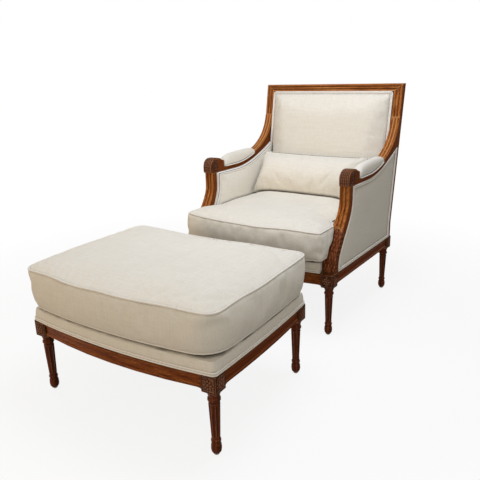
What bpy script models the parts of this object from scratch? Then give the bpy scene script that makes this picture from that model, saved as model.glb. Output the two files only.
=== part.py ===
"""A square-backed bergere armchair with its footstool, in metres, +Z up, the chair facing -Y.

Both stand on turned, fluted legs with square blocks. The chair's moulded back frame leaves the
stiles in a sweep that becomes the arms, and each arm ends in a knuckle on a post that leans
back. The seat cushion, the lumbar pillow and the stool's cushion are loose.
"""

import math

import bmesh
import bpy
from mathutils import Matrix, Vector

# Clearances
GAP = 0.0003
SOFT_GAP = 0.0006
LOOSE_GAP = 0.004
WELD_DISTANCE = 0.00005
CREASE_ANGLE = math.radians(32.0)

# Legs, the same under the chair and the stool
LEG_HEIGHT = 0.2045
LEG_RADIUS = 0.0165
FLUTES = 8
FLUTE_DEPTH = 0.0028
BLOCK_SIDE = 0.047
BLOCK_HEIGHT = 0.054
GLIDE_RADIUS = 0.008
GLIDE_HEIGHT = 0.004

# Seat rails, the same section all round
RAIL_HEIGHT = 0.046
RAIL_THICKNESS = 0.022
RAIL_RECESS = 0.002
BRACKET_LENGTH = 0.016
CORNER_BLOCK_REACH = 0.055
CORNER_BLOCK_HEIGHT = 0.032
CORNER_BLOCK_DROP = 0.005

# Chair frame
CHAIR_LEG_SPACING_X = 0.658
CHAIR_LEG_SPACING_Y = 0.570
CHAIR_FRONT_BOW = 0.034
BACK_HEIGHT = 0.940
BACK_RAKE = math.radians(9.4)
RAKE_START_RISE = 0.0715
STILE_WIDTH = 0.040
STILE_DEPTH = 0.030
STILE_REAR_INSET = 0.0095
STILE_LAP = 0.012
TOP_RAIL_HEIGHT = 0.031

# Arms and posts
ARM_RISE = 0.318
ARM_SEAT_THICKNESS = 0.016
SWEEP_FRONT = 0.470
SWEEP_LIP = 0.010
ARM_LEVEL_FROM = 0.300
KNUCKLE_FRONT = 0.103
KNUCKLE_LENGTH = 0.1025
KNUCKLE_HEIGHT = 0.0615
KNUCKLE_BACK_SLOPE = 0.014
KNUCKLE_UNDER_RADIUS = 0.009
POST_FOOT_SETBACK = 0.013
POST_HEAD_SETBACK = 0.128
POST_DEPTH = 0.032
POST_HEAD_WIDTH = 0.042
POST_FOOT_WIDTH = 0.052

# Chair upholstery
DECK_BAND = 0.046
DECK_INSET = 0.006
SIDE_PAD_THICKNESS = 0.057
SIDE_PAD_STANDS_IN = 0.030
SIDE_PAD_CROWN = 0.011
SIDE_PAD_BACK_GAP = 0.0135
SIDE_PANEL_THICKNESS = 0.010
SIDE_PANEL_RECESS = 0.002
BACK_PAD_CROWN = 0.048
BACK_PANEL_THICKNESS = 0.008
ARM_PAD_HEIGHT = 0.046
ARM_PAD_OVERHANG = 0.003
CUSHION_THICKNESS = 0.122
CUSHION_CROWN = 0.024
CUSHION_TO_BACK = 0.034
NOSE_PROJECTION = 0.082
NOSE_BOW = 0.038
NOSE_OVERHANG = 0.020
NOSE_CORNER = 0.024
NOSE_TO_POST = 0.007
PILLOW_SIDE_GAP = 0.0085
PILLOW_HEIGHT = 0.210
PILLOW_THICKNESS = 0.172
PILLOW_LEAN = math.radians(34.0)
PILLOW_SETTLE = 0.0050
PILLOW_TO_PAD = 0.0044

# Footstool
STOOL_LEG_SPACING_X = 0.6706
STOOL_LEG_SPACING_Y = 0.4874
STOOL_FRONT_BOW = 0.026
STOOL_SIDE_BOW = 0.007
STOOL_REAR_HOLLOW = 0.018
STOOL_DECK_INSET = 0.001
STOOL_CUSHION_OVERHANG = 0.013
STOOL_CORNER = 0.024
STOOL_CUSHION_THICKNESS = 0.124
STOOL_CUSHION_CROWN = 0.030
STOOL_AHEAD = 0.580
STOOL_ASIDE = 0.039
STOOL_TURN = math.radians(2.8)

# Webbing and dust covers
WEBBING_THICKNESS = 0.003
WEBBING_STRIP = 0.050
WEBBING_STRIPS = 4
COVER_THICKNESS = 0.0016
COVER_LIFT = 0.002

# Shares chosen by hand, each of the size that it follows
LEG_PROFILE_SHARES = (
    # height of the leg, radius of the leg, flute depth
    (0.000, 0.56, 0.0),
    (0.040, 0.86, 0.0),
    (0.090, 0.95, 0.0),
    (0.150, 0.90, 0.0),
    (0.182, 0.72, 0.0),
    (0.200, 0.88, 0.0),
    (0.228, 0.88, 0.0),
    (0.246, 0.74, 0.0),
    (0.276, 0.77, 0.0),
    (0.296, 0.78, 1.0),
    (0.782, 1.00, 1.0),
    (0.806, 1.00, 0.0),
    (0.830, 0.88, 0.0),
    (0.854, 1.13, 0.0),
    (0.884, 1.13, 0.0),
    (0.908, 0.94, 0.0),
    (1.000, 1.24, 0.0),
)
RAIL_FACE_SHARES = (
    # height of the rail, recess as a share of its thickness
    (0.00, 0.10),
    (0.05, 0.00),
    (0.20, 0.00),
    (0.27, 0.14),
    (0.66, 0.14),
    (0.73, 0.03),
    (0.84, 0.03),
    (0.90, 0.16),
    (1.00, 0.16),
)
MOULDING_SHARES = (
    # width from the outer edge, recess as a share of the stile's depth
    (0.00, 0.14),
    (0.05, 0.00),
    (0.24, 0.00),
    (0.30, 0.13),
    (0.38, 0.13),
    (0.44, 0.03),
    (0.60, 0.03),
    (0.66, 0.16),
    (0.74, 0.16),
    (0.80, 0.07),
    (1.00, 0.07),
)
BOX_CUSHION_SHARES = (
    # scale of the outline, share of the thickness, share of the crown
    (0.965, 0.00, 0.00),
    (1.00, 0.07, 0.00),
    (0.985, 0.50, 0.00),
    (1.00, 0.90, 0.00),
    (0.993, 0.99, 0.00),
    (0.93, 1.00, 0.38),
    (0.75, 1.00, 0.82),
    (0.45, 1.00, 1.00),
)
PILLOW_SHARES = (
    # scale of the outline, share of half the thickness, share of no crown
    (0.42, -1.00, 0.00),
    (0.72, -0.84, 0.00),
    (0.93, -0.42, 0.00),
    (1.00, 0.00, 0.00),
    (0.93, 0.42, 0.00),
    (0.72, 0.84, 0.00),
    (0.42, 1.00, 0.00),
)
PAD_SHARES = (
    # scale of the outline, share of the thickness, share of the crown
    (1.00, 0.00, 0.00),
    (1.00, 0.50, 0.00),
    (0.99, 1.00, 0.05),
    (0.82, 1.00, 0.75),
    (0.50, 1.00, 1.00),
)
ARM_PAD_HEIGHT_SHARES = (
    # length of the pad, its height
    (0.00, 0.30),
    (0.04, 0.62),
    (0.16, 0.90),
    (0.36, 1.00),
    (0.62, 0.92),
    (0.86, 0.62),
    (0.97, 0.42),
    (1.00, 0.28),
)
ARM_PAD_ROUND_SHARES = (
    # half the width, height
    (-1.00, 0.00),
    (-1.00, 0.50),
    (-0.72, 0.88),
    (0.00, 1.00),
    (0.72, 0.88),
    (1.00, 0.50),
    (1.00, 0.00),
)
BRACKET_STEP_SHARES = (0.0, 0.25, 0.6, 1.0)
KNUCKLE_STEP_SHARES = (1.0, 0.66, 0.42, 0.25, 0.13, 0.05, 0.0)
RECTANGLE_SIDE_SHARES = (-1.0, -0.84, -0.3, 0.3, 0.84, 1.0)
GLIDE_PROFILE_SHARES = (
    # glide's radius, glide's height
    (0.0, 1.0),
    (0.9, 1.0),
    (1.0, 0.5),
    (0.8, 0.0),
    (0.0, 0.0),
)
ARM_PAD_END_SHARE = 0.86
BACK_PAD_CORNER_SHARE = 0.167
PILLOW_CORNER_SHARE = 0.25
NOSE_CORNER_SHARE = 0.333
SIDE_FIELD_SLOPE_SHARE = 2.0
SIDE_FIELD_TIP_SHARE = 4.0
SWEEP_TOP_SHARE = 0.615
SWEEP_UNDER_SHARE = 0.414
SWEEP_UPPER_PULL_SHARE = 0.62
SWEEP_LOWER_PULL_SHARE = 0.336
SWEEP_LOWER_RUN_SHARE = 0.333
POST_CURVE_LOW_SHARE = 0.083
POST_CURVE_HIGH_SHARE = 0.822
POST_REEDS_FADE_SHARE = 0.125
SWEEP_STILE_SHARE = 0.62
SWEEP_STILE_STEPS = 6
SWEEP_ARM_STEPS = 4
ARM_STEPS = 7
POST_STEPS = 13
POST_REEDS_FROM_SHARE = 0.40
BOW_STEPS = 6
OUTLINE_STEPS = 6
SIDE_REAR_STEPS = 4
GLIDE_SIDES = 12
NOSE_STEPS = 4
CUSHION_SIDE_STEPS = 3

# Sizes worked out from the ones above
BLOCK_HALF = BLOCK_SIDE / 2
RAIL_TOP = LEG_HEIGHT + BLOCK_HEIGHT
RAIL_BOTTOM = RAIL_TOP - RAIL_HEIGHT
RAKE_START = RAIL_TOP + RAKE_START_RISE
ARM_UNDERSIDE = RAIL_TOP + ARM_RISE
SWEEP_TOP = ARM_UNDERSIDE + (BACK_HEIGHT - ARM_UNDERSIDE) * SWEEP_TOP_SHARE
SWEEP_MEETS_STILE = ARM_UNDERSIDE + (SWEEP_TOP - ARM_UNDERSIDE) * SWEEP_UNDER_SHARE
POST_CURVE_LOW = RAIL_TOP + ARM_RISE * POST_CURVE_LOW_SHARE
POST_CURVE_HIGH = RAIL_TOP + ARM_RISE * POST_CURVE_HIGH_SHARE
BLOCK_DROP = RAIL_BOTTOM - LEG_HEIGHT
CHAIR_HALF_X = CHAIR_LEG_SPACING_X / 2
CHAIR_OUT = CHAIR_HALF_X + BLOCK_HALF
STILE_IN = CHAIR_OUT - STILE_WIDTH
REAR_AXIS = CHAIR_LEG_SPACING_Y
STILE_REAR_FOOT = REAR_AXIS + BLOCK_HALF - STILE_REAR_INSET
DECK_TOP = RAIL_TOP + DECK_BAND
SIDE_PAD_FACE = CHAIR_OUT - POST_HEAD_WIDTH - SIDE_PAD_STANDS_IN + SIDE_PAD_CROWN
PILLOW_WIDTH = 2 * (SIDE_PAD_FACE - SIDE_PAD_CROWN - PILLOW_SIDE_GAP)
FRAME_RECESS = RAIL_THICKNESS + RAIL_RECESS
BACK_PAD_THICKNESS = STILE_DEPTH - BACK_PANEL_THICKNESS - SOFT_GAP


def finish(name, colour, roughness, metallic=0.0):
    """A plain material of one colour."""
    material = bpy.data.materials.new(name)
    material.use_nodes = True
    shader = material.node_tree.nodes["Principled BSDF"]
    shader.inputs["Base Color"].default_value = (*colour, 1.0)
    shader.inputs["Roughness"].default_value = roughness
    shader.inputs["Metallic"].default_value = metallic
    material.diffuse_color = (*colour, 1.0)
    return material


def clear_scene():
    for obj in list(bpy.data.objects):
        bpy.data.objects.remove(obj, do_unlink=True)


def empty(name, collection, location=(0, 0, 0), turn=0.0, parent=None):
    obj = bpy.data.objects.new(name, None)
    obj.empty_display_size = BLOCK_SIDE
    obj.location = location
    obj.rotation_euler.z = turn
    obj.parent = parent
    collection.objects.link(obj)
    return obj


class Workshop:
    """Adds pieces to one collection, under one parent, in one finish at a time."""

    def __init__(self, collection, parent):
        self.collection = collection
        self.parent = parent

    def place(self, name, data, material, matrix=None):
        obj = bpy.data.objects.new(name, data)
        if not data.materials:
            data.materials.append(material)
        obj.parent = self.parent
        obj.matrix_local = matrix or Matrix.Identity(4)
        self.collection.objects.link(obj)
        return obj

    def mesh(self, name, bm, material, matrix=None, smooth=True):
        """Turns a bmesh into an object, with its faces outward."""
        bmesh.ops.recalc_face_normals(bm, faces=bm.faces)
        mesh = bpy.data.meshes.new(name)
        bm.to_mesh(mesh)
        bm.free()
        if smooth:
            mesh.shade_smooth()
            mesh.set_sharp_from_angle(angle=CREASE_ANGLE)
        return self.place(name, mesh, material, matrix)

    def outline(self, name, points, thickness, material, matrix, holes=()):
        """A flat outline in XY, made as thick as asked about its own plane."""
        curve = bpy.data.curves.new(name, "CURVE")
        curve.dimensions = "2D"
        curve.fill_mode = "BOTH"
        curve.extrude = thickness / 2
        for ring in (points, *holes):
            spline = curve.splines.new("POLY")
            spline.points.add(len(ring) - 1)
            for point, (x, y) in zip(spline.points, ring):
                point.co = (x, y, 0, 1)
            spline.use_cyclic_u = True
        return self.place(name, curve, material, matrix)

    def soft(self, name, outline, shares, thickness, crown, material, matrix, levels=1):
        """A stuffed form: scaled copies of an outline, one above the other, smoothed.

        The outline is one ring of points, or a function that gives the ring at a height.
        """
        rings = []
        for scale, height_share, crown_share in shares:
            height = thickness * height_share + crown * crown_share
            here = outline(height) if callable(outline) else outline
            centre = Vector((sum(x for x, _ in here), sum(y for _, y in here))) / len(here)
            ring = [centre + (Vector(point) - centre) * scale for point in here]
            rings.append([Vector((point.x, point.y, height)) for point in ring])
        obj = self.mesh(name, loft(rings), material, matrix)
        smoothing = obj.modifiers.new("Smoothing", "SUBSURF")
        smoothing.levels = levels
        smoothing.render_levels = levels
        return obj


def loft(rings):
    """Skins rings of equally many points, from the first to the last, and fills both ends."""
    bm = bmesh.new()
    rows = [[bm.verts.new(point) for point in ring] for ring in rings]
    for low, high in zip(rows, rows[1:]):
        for i in range(len(low)):
            j = (i + 1) % len(low)
            bm.faces.new((low[i], low[j], high[j], high[i]))
    bm.faces.new(list(reversed(rows[0])))
    bm.faces.new(rows[-1])
    return bm


def smoothstep(t):
    t = min(max(t, 0.0), 1.0)
    return t * t * (3 - 2 * t)


def bezier(points, t):
    """A point of the cubic curve through four control points."""
    a, b, c, d = (Vector(point) for point in points)
    s = 1 - t
    return a * s**3 + b * 3 * s * s * t + c * 3 * s * t * t + d * t**3


def side_plane(x):
    """Maps an outline's X to world Y and its Y to world Z, at this X."""
    return Matrix.Translation((x, 0, 0)) @ Matrix(((0, 0, 1, 0), (1, 0, 0, 0), (0, 1, 0, 0), (0, 0, 0, 1)))


def flat_at(z):
    return Matrix.Translation((0, 0, z))


# Legs and glides


def leg_ring(height, radius, flute, corners):
    """A ring of the leg: square with corners True, else round, its flutes cut this deep."""
    count = 2 * FLUTES
    ring = []
    for i in range(count):
        angle = 2 * math.pi * i / count
        reach = radius - (flute if i % 2 else 0.0)
        if corners:
            reach = radius / max(abs(math.cos(angle)), abs(math.sin(angle)))
        ring.append(Vector((reach * math.cos(angle), reach * math.sin(angle), height)))
    return ring


def leg_mesh(name):
    """The turned leg with its block, from the glide's seat up to the top of the rails."""
    rings = []
    for height_share, radius_share, flute_share in LEG_PROFILE_SHARES:
        height = GLIDE_HEIGHT + GAP + (LEG_HEIGHT - GLIDE_HEIGHT - GAP) * height_share
        rings.append(leg_ring(height, LEG_RADIUS * radius_share, FLUTE_DEPTH * flute_share, False))
    rings.append(leg_ring(LEG_HEIGHT, BLOCK_HALF, 0.0, True))
    rings.append(leg_ring(RAIL_TOP, BLOCK_HALF, 0.0, True))
    bm = loft(rings)
    bmesh.ops.recalc_face_normals(bm, faces=bm.faces)
    mesh = bpy.data.meshes.new(name)
    bm.to_mesh(mesh)
    bm.free()
    mesh.shade_smooth()
    mesh.set_sharp_from_angle(angle=CREASE_ANGLE)
    return mesh


def glide_mesh(name):
    """The half outline of a domed nail glide, for a Screw modifier."""
    mesh = bpy.data.meshes.new(name)
    points = [(GLIDE_RADIUS * out, 0.0, GLIDE_HEIGHT * up) for out, up in GLIDE_PROFILE_SHARES]
    mesh.from_pydata(points, [(i, i + 1) for i in range(len(points) - 1)], [])
    return mesh


def add_legs(shop, prefix, places, wood, metal, meshes):
    leg, glide = meshes
    for where, (x, y) in places.items():
        shop.place(f"{prefix}{where}_leg", leg, wood, Matrix.Translation((x, y, 0)))
        foot = shop.place(f"{prefix}{where}_glide", glide, metal, Matrix.Translation((x, y, 0)))
        turn = foot.modifiers.new("Turned", "SCREW")
        turn.axis = "Z"
        turn.steps = GLIDE_SIDES
        turn.render_steps = GLIDE_SIDES
        turn.use_merge_vertices = True
        turn.merge_threshold = WELD_DISTANCE
        turn.use_smooth_shade = True


# Rails


def bow_at(share, bow):
    """How far a bowed face stands out at this share of its half length."""
    return bow * (1 - share * share)


def add_rail(shop, name, half_length, face, turn, bow, wood):
    """A moulded rail between two blocks, its face this far out, turned about Z to its side."""
    length = half_length - GAP
    steps = [length - BRACKET_LENGTH * share for share in BRACKET_STEP_SHARES]
    if bow:
        inner = steps[-1]
        steps += [inner * (1 - 2 * i / BOW_STEPS) for i in range(1, BOW_STEPS)]
    steps += [-along for along in reversed(steps[: len(BRACKET_STEP_SHARES)])]
    rings = []
    for along in steps:
        bowed = bow_at(along / length, bow)
        from_block = min((length - abs(along)) / BRACKET_LENGTH, 1.0)
        drop = BLOCK_DROP * (1 - math.sqrt(1 - (1 - from_block) ** 2))
        ring = []
        for height_share, recess_share in RAIL_FACE_SHARES:
            lowered = drop * max(0.0, 1 - 2 * height_share)
            out = face + bowed - RAIL_THICKNESS * recess_share
            ring.append(Vector((along, -out, RAIL_BOTTOM + RAIL_HEIGHT * height_share - lowered)))
        inside = face + min(bowed, 0.0) - RAIL_THICKNESS
        ring.append(Vector((along, -inside, RAIL_TOP)))
        ring.append(Vector((along, -inside, RAIL_BOTTOM - drop)))
        rings.append(ring)
    return shop.mesh(name, loft(rings), wood, Matrix.Rotation(turn, 4, "Z"))


def add_corner_block(shop, name, corner, inward, hollow, wood):
    """A glued block that ties two rails behind a leg. inward points to the seat's middle."""
    start = -BLOCK_HALF + FRAME_RECESS + GAP
    clear = BLOCK_HALF + GAP
    reach = BLOCK_HALF + CORNER_BLOCK_REACH
    along = start + hollow
    points = (
        (clear, along),
        (reach, along),
        (start, reach),
        (start, clear),
        (clear, clear),
    )
    x, y = corner
    ring = [(x + inward[0] * u, y + inward[1] * v) for u, v in points]
    top = RAIL_TOP - CORNER_BLOCK_DROP
    middle = top - CORNER_BLOCK_HEIGHT / 2
    return shop.outline(name, ring, CORNER_BLOCK_HEIGHT, wood, flat_at(middle))


def add_webbing(shop, name, half_x, low_y, high_y, webbing):
    """Interlaced strips under the deck, as one flat lattice between the rails."""
    outer = [(-half_x, low_y), (half_x, low_y), (half_x, high_y), (-half_x, high_y)]
    cell_x = (2 * half_x - WEBBING_STRIP) / WEBBING_STRIPS
    cell_y = (high_y - low_y - WEBBING_STRIP) / WEBBING_STRIPS
    holes = []
    for i in range(WEBBING_STRIPS):
        for j in range(WEBBING_STRIPS):
            x = -half_x + WEBBING_STRIP + cell_x * i
            y = low_y + WEBBING_STRIP + cell_y * j
            width = cell_x - WEBBING_STRIP
            depth = cell_y - WEBBING_STRIP
            holes.append([(x, y), (x, y + depth), (x + width, y + depth), (x + width, y)])
    middle = RAIL_TOP - WEBBING_THICKNESS / 2
    return shop.outline(name, outer, WEBBING_THICKNESS, webbing, flat_at(middle), holes)


def add_dust_cover(shop, name, half_x, low_y, high_y, notch, cloth):
    """Black lining between the rails, cut round the leg blocks."""
    cut = notch + GAP
    ring = (
        (-half_x + cut, low_y),
        (half_x - cut, low_y),
        (half_x - cut, low_y + cut),
        (half_x, low_y + cut),
        (half_x, high_y - cut),
        (half_x - cut, high_y - cut),
        (half_x - cut, high_y),
        (-half_x + cut, high_y),
        (-half_x + cut, high_y - cut),
        (-half_x, high_y - cut),
        (-half_x, low_y + cut),
        (-half_x + cut, low_y + cut),
    )
    middle = RAIL_BOTTOM + COVER_LIFT + COVER_THICKNESS / 2
    return shop.outline(name, ring, COVER_THICKNESS, cloth, flat_at(middle))


# Back frame


def stile_rear(z):
    """The Y of the stile's rear face at this height."""
    return STILE_REAR_FOOT + math.tan(BACK_RAKE) * max(0.0, z - RAKE_START)


def stile_front(z, lapped=False):
    """The Y of the stile's front face, set back by the lap where the arm is let in."""
    depth = STILE_DEPTH / math.cos(BACK_RAKE)
    return stile_rear(z) - depth + (STILE_LAP if lapped else 0.0)


def moulded_ring(outer, across, inward, relief=1.0, back=None):
    """A section: a moulded face from outer along across, then its back edge, inward of it."""
    depth = back if back is not None else inward
    unit = inward.normalized() * STILE_DEPTH
    ring = [outer + across * w + unit * (r * relief) for w, r in MOULDING_SHARES]
    return ring + [outer + across + depth, outer + depth]


def add_stile(shop, name, side, wood):
    """A raked stile, moulded above the sweep, mitred to the top rail."""
    across = Vector((-side * STILE_WIDTH, 0, 0))
    rings = []
    levels = ((RAIL_TOP + GAP, True), (RAKE_START, True), (SWEEP_TOP - GAP, True), (SWEEP_TOP, False))
    for z, lapped in levels:
        front = Vector((side * CHAIR_OUT, stile_front(z, lapped), z))
        back = Vector((0, stile_rear(z) - front.y, 0))
        rings.append(moulded_ring(front, across, back, 0.0 if lapped else 1.0))
    ring = []
    for point in rings[-1]:
        inner_share = abs(point.x - side * CHAIR_OUT) / STILE_WIDTH
        z = BACK_HEIGHT - TOP_RAIL_HEIGHT * inner_share - 2 * GAP
        rise = z - SWEEP_TOP
        ring.append(point + Vector((0, math.tan(BACK_RAKE) * rise, rise)))
    rings.append(ring)
    return shop.mesh(name, loft(rings), wood)


def add_top_rail(shop, name, wood):
    """The moulded top rail, mitred between the stiles."""
    z = BACK_HEIGHT
    rings = []
    for side in (-1, 1):
        outer = Vector((side * CHAIR_OUT, stile_front(z), z))
        across = Vector((-side * STILE_WIDTH, -math.tan(BACK_RAKE) * TOP_RAIL_HEIGHT, -TOP_RAIL_HEIGHT))
        inward = Vector((0, STILE_DEPTH / math.cos(BACK_RAKE), 0))
        rings.append(moulded_ring(outer, across, inward))
    return shop.mesh(name, loft(rings), wood)


# Arms


def sweep_upper(t):
    """The sweep's upper edge in the side plane, from the stile down to the arm pad."""
    start = Vector((stile_front(SWEEP_TOP), SWEEP_TOP))
    end = Vector((SWEEP_FRONT, arm_seat_height(SWEEP_FRONT) + SWEEP_LIP))
    fall = (start.y - end.y) * SWEEP_UPPER_PULL_SHARE
    run = (start.x - end.x) * (1 - SWEEP_UPPER_PULL_SHARE)
    first = start + Vector((-math.tan(BACK_RAKE), -1)) * fall
    last = end + Vector((1, SWEEP_UPPER_PULL_SHARE / 2)) * run
    return bezier((start, first, last, end), t)


def arm_underside(t):
    """The arm's lower edge, from the stile down to where it runs level."""
    start = Vector((stile_front(SWEEP_MEETS_STILE, True) - GAP, SWEEP_MEETS_STILE))
    end = Vector((ARM_LEVEL_FROM, ARM_UNDERSIDE))
    drop = start.y - end.y
    run = start.x - end.x
    first = start + Vector((-run * SWEEP_LOWER_RUN_SHARE, -drop / 2))
    last = end + Vector((run * SWEEP_LOWER_PULL_SHARE, 0))
    return bezier((start, first, last, end), t)


def underside_share_at(y):
    """The share along the lower edge that lies at this Y, found by halving."""
    low, high = 0.0, 1.0
    for _ in range(30):
        middle = (low + high) / 2
        if arm_underside(middle).x > y:
            low = middle
        else:
            high = middle
    return low


def arm_seat_height(y):
    """The height of the arm's flat seat, where its pad lies."""
    if y <= ARM_LEVEL_FROM:
        return ARM_UNDERSIDE + ARM_SEAT_THICKNESS
    return arm_underside(underside_share_at(y)).y + ARM_SEAT_THICKNESS


def rounded_off(radius, back):
    """How much a rounded corner takes off, this far behind its front."""
    if back >= radius:
        return 0.0
    return radius - math.sqrt(radius**2 - (radius - back) ** 2)


def knuckle_section(back):
    """The knuckle's top and bottom this far behind its front."""
    radius = KNUCKLE_HEIGHT / 2
    behind = max(0.0, back - radius) / (KNUCKLE_LENGTH - radius)
    fall = rounded_off(radius, back) + KNUCKLE_BACK_SLOPE * behind**2
    top = ARM_UNDERSIDE + KNUCKLE_HEIGHT - fall
    return top, ARM_UNDERSIDE + rounded_off(KNUCKLE_UNDER_RADIUS, back)


def arm_sections():
    """The arm's upper and lower points in the side plane, with the depth of its moulding."""
    sections = []
    head = SWEEP_TOP - 2 * GAP
    for i in range(SWEEP_STILE_STEPS + 1):
        share = i / SWEEP_STILE_STEPS
        z = head + (SWEEP_MEETS_STILE - head) * share
        lower = Vector((stile_front(z, True) - GAP, z))
        upper = sweep_upper(SWEEP_STILE_SHARE * share)
        upper.y = min(upper.y, head)
        sections.append((upper, lower, 1.0))
    front_share = underside_share_at(SWEEP_FRONT + ARM_SEAT_THICKNESS)
    for i in range(1, SWEEP_ARM_STEPS + 1):
        share = i / SWEEP_ARM_STEPS
        upper = sweep_upper(SWEEP_STILE_SHARE + (1 - SWEEP_STILE_SHARE) * share)
        sections.append((upper, arm_underside(front_share * share), 1.0))
    knuckle_back = KNUCKLE_FRONT + KNUCKLE_LENGTH
    run = SWEEP_FRONT - knuckle_back
    for i in range(ARM_STEPS + 1):
        y = SWEEP_FRONT - GAP - (run - 2 * GAP) * i / ARM_STEPS
        seat = arm_seat_height(y)
        sections.append((Vector((y, seat)), Vector((y, seat - ARM_SEAT_THICKNESS)), 0.0))
    for share in KNUCKLE_STEP_SHARES:
        top, bottom = knuckle_section(KNUCKLE_LENGTH * share)
        y = KNUCKLE_FRONT + KNUCKLE_LENGTH * share
        sections.append((Vector((y, top)), Vector((y, bottom)), 0.0))
    return sections


def add_arm(shop, name, side, wood):
    """One arm: the moulded sweep off the stile, the pad's seat and the scrolled knuckle."""
    across = Vector((-side * STILE_WIDTH, 0, 0))
    rings = []
    for upper, lower, relief in arm_sections():
        outer = Vector((side * CHAIR_OUT, upper.x, upper.y))
        inward = Vector((0, lower.x - upper.x, lower.y - upper.y))
        thin = min(1.0, inward.length / STILE_LAP)
        rings.append(moulded_ring(outer, across, inward, relief * thin))
    return shop.mesh(name, loft(rings), wood)


# Posts


def post_centre(z):
    """The post's centre line in the side plane: upright, then leaning back, then upright."""
    t = smoothstep((z - POST_CURVE_LOW) / (POST_CURVE_HIGH - POST_CURVE_LOW))
    return POST_FOOT_SETBACK + (POST_HEAD_SETBACK - POST_FOOT_SETBACK) * t


def post_edge(z, out):
    """A point this far from the centre line, measured square to it: +Y is behind."""
    step = (POST_CURVE_HIGH - POST_CURVE_LOW) / POST_STEPS
    slope = (post_centre(z + step / 2) - post_centre(z - step / 2)) / step
    normal = Vector((1, -slope)).normalized()
    return Vector((post_centre(z), z)) + normal * out


def post_width(z):
    """The post narrows from its leafy foot to its head."""
    t = smoothstep((z - RAIL_TOP) / (POST_CURVE_HIGH - RAIL_TOP))
    return POST_FOOT_WIDTH + (POST_HEAD_WIDTH - POST_FOOT_WIDTH) * t


def post_height(share):
    """The height this far up the post."""
    low = RAIL_TOP + GAP
    high = ARM_UNDERSIDE - GAP
    return low + (high - low) * share


def add_post(shop, name, side, wood):
    """The arm's post: reeded above, plain below where its leaf is carved."""
    rings = []
    for i in range(POST_STEPS + 1):
        share = i / POST_STEPS
        z = post_height(share)
        half = POST_DEPTH / 2
        front = post_edge(z, -half)
        rear = post_edge(z, half)
        outer = Vector((side * CHAIR_OUT, front.x, front.y))
        inward = Vector((0, rear.x - front.x, rear.y - front.y))
        across = Vector((-side * post_width(z), 0, 0))
        relief = smoothstep((share - POST_REEDS_FROM_SHARE) / POST_REEDS_FADE_SHARE)
        rings.append(moulded_ring(outer, across, inward, relief))
    return shop.mesh(name, loft(rings), wood)


# Upholstery


def side_outline(rear_at, outset):
    """The side field between post, arm and stile, its edges this far inside them."""
    half = POST_DEPTH / 2 + outset
    top = ARM_UNDERSIDE - outset
    ring = [tuple(post_edge(post_height(i / POST_STEPS), half)) for i in range(POST_STEPS)]
    ring.append((post_edge(top, half).x, top))
    ring.append((ARM_LEVEL_FROM, top - outset))
    last = rear_at(SWEEP_MEETS_STILE) - outset
    under = [lower for _, lower, _ in arm_sections()[SWEEP_STILE_STEPS + 1 :]]
    for point in reversed([lower for lower in under if lower.x > ARM_LEVEL_FROM]):
        ring.append((point.x, point.y - outset * SIDE_FIELD_SLOPE_SHARE))
    tip = arm_underside(underside_share_at(last)).y
    ring.append((last, tip - outset * SIDE_FIELD_TIP_SHARE))
    for i in range(1, SIDE_REAR_STEPS):
        z = SWEEP_MEETS_STILE + (RAKE_START - SWEEP_MEETS_STILE) * i / SIDE_REAR_STEPS
        ring.append((rear_at(z) - outset, z))
    ring.append((rear_at(RAKE_START) - outset, RAKE_START))
    rear = rear_at(RAIL_TOP) - outset
    front = ring[0][0]
    for i in range(SIDE_REAR_STEPS):
        ring.append((rear + (front - rear) * i / SIDE_REAR_STEPS, RAIL_TOP + GAP))
    return ring


def back_pad_front(z):
    """The Y of the back pad's front at its border."""
    return stile_front(z)


def add_side_fields(shop, side, where, cloth):
    """The padded field inside the arm and the flat one outside it."""
    inside = side_outline(lambda z: back_pad_front(z) - SIDE_PAD_BACK_GAP, 2 * SOFT_GAP)
    depth = SIDE_PAD_THICKNESS - SIDE_PAD_CROWN
    flip = side_plane(side * (SIDE_PAD_FACE + depth)) @ Matrix.Diagonal((1, 1, -side, 1))
    shop.soft(f"{where}_inner_side_pad", inside, PAD_SHARES, depth, SIDE_PAD_CROWN, cloth, flip)
    outside = side_outline(lambda z: stile_front(z, True), GAP)
    middle = CHAIR_OUT - SIDE_PANEL_RECESS - SIDE_PANEL_THICKNESS / 2
    plane = side_plane(side * middle)
    shop.outline(f"{where}_outer_side_panel", outside, SIDE_PANEL_THICKNESS, cloth, plane)


def raked_plane(z):
    """Maps an outline's X to world X and its Y up the rake, from the back's front face."""
    rake = Matrix.Rotation(math.pi / 2 - BACK_RAKE, 4, "X")
    return Matrix.Translation((0, stile_front(z), z)) @ rake


def rectangle(half_x, low, high, corner):
    """A rectangle with softened corners and points close to them, so that they stay crisp."""
    middle = (low + high) / 2
    half_y = (high - low) / 2
    ring = []
    for quarter in range(4):
        long_half, across = (half_x, half_y) if quarter % 2 else (half_y, half_x)
        reach = long_half - corner
        turned = Matrix.Rotation(quarter * math.pi / 2, 2)
        for share in RECTANGLE_SIDE_SHARES:
            point = turned @ Vector((across, reach * share))
            ring.append((point.x, point.y + middle))
    return ring


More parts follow.
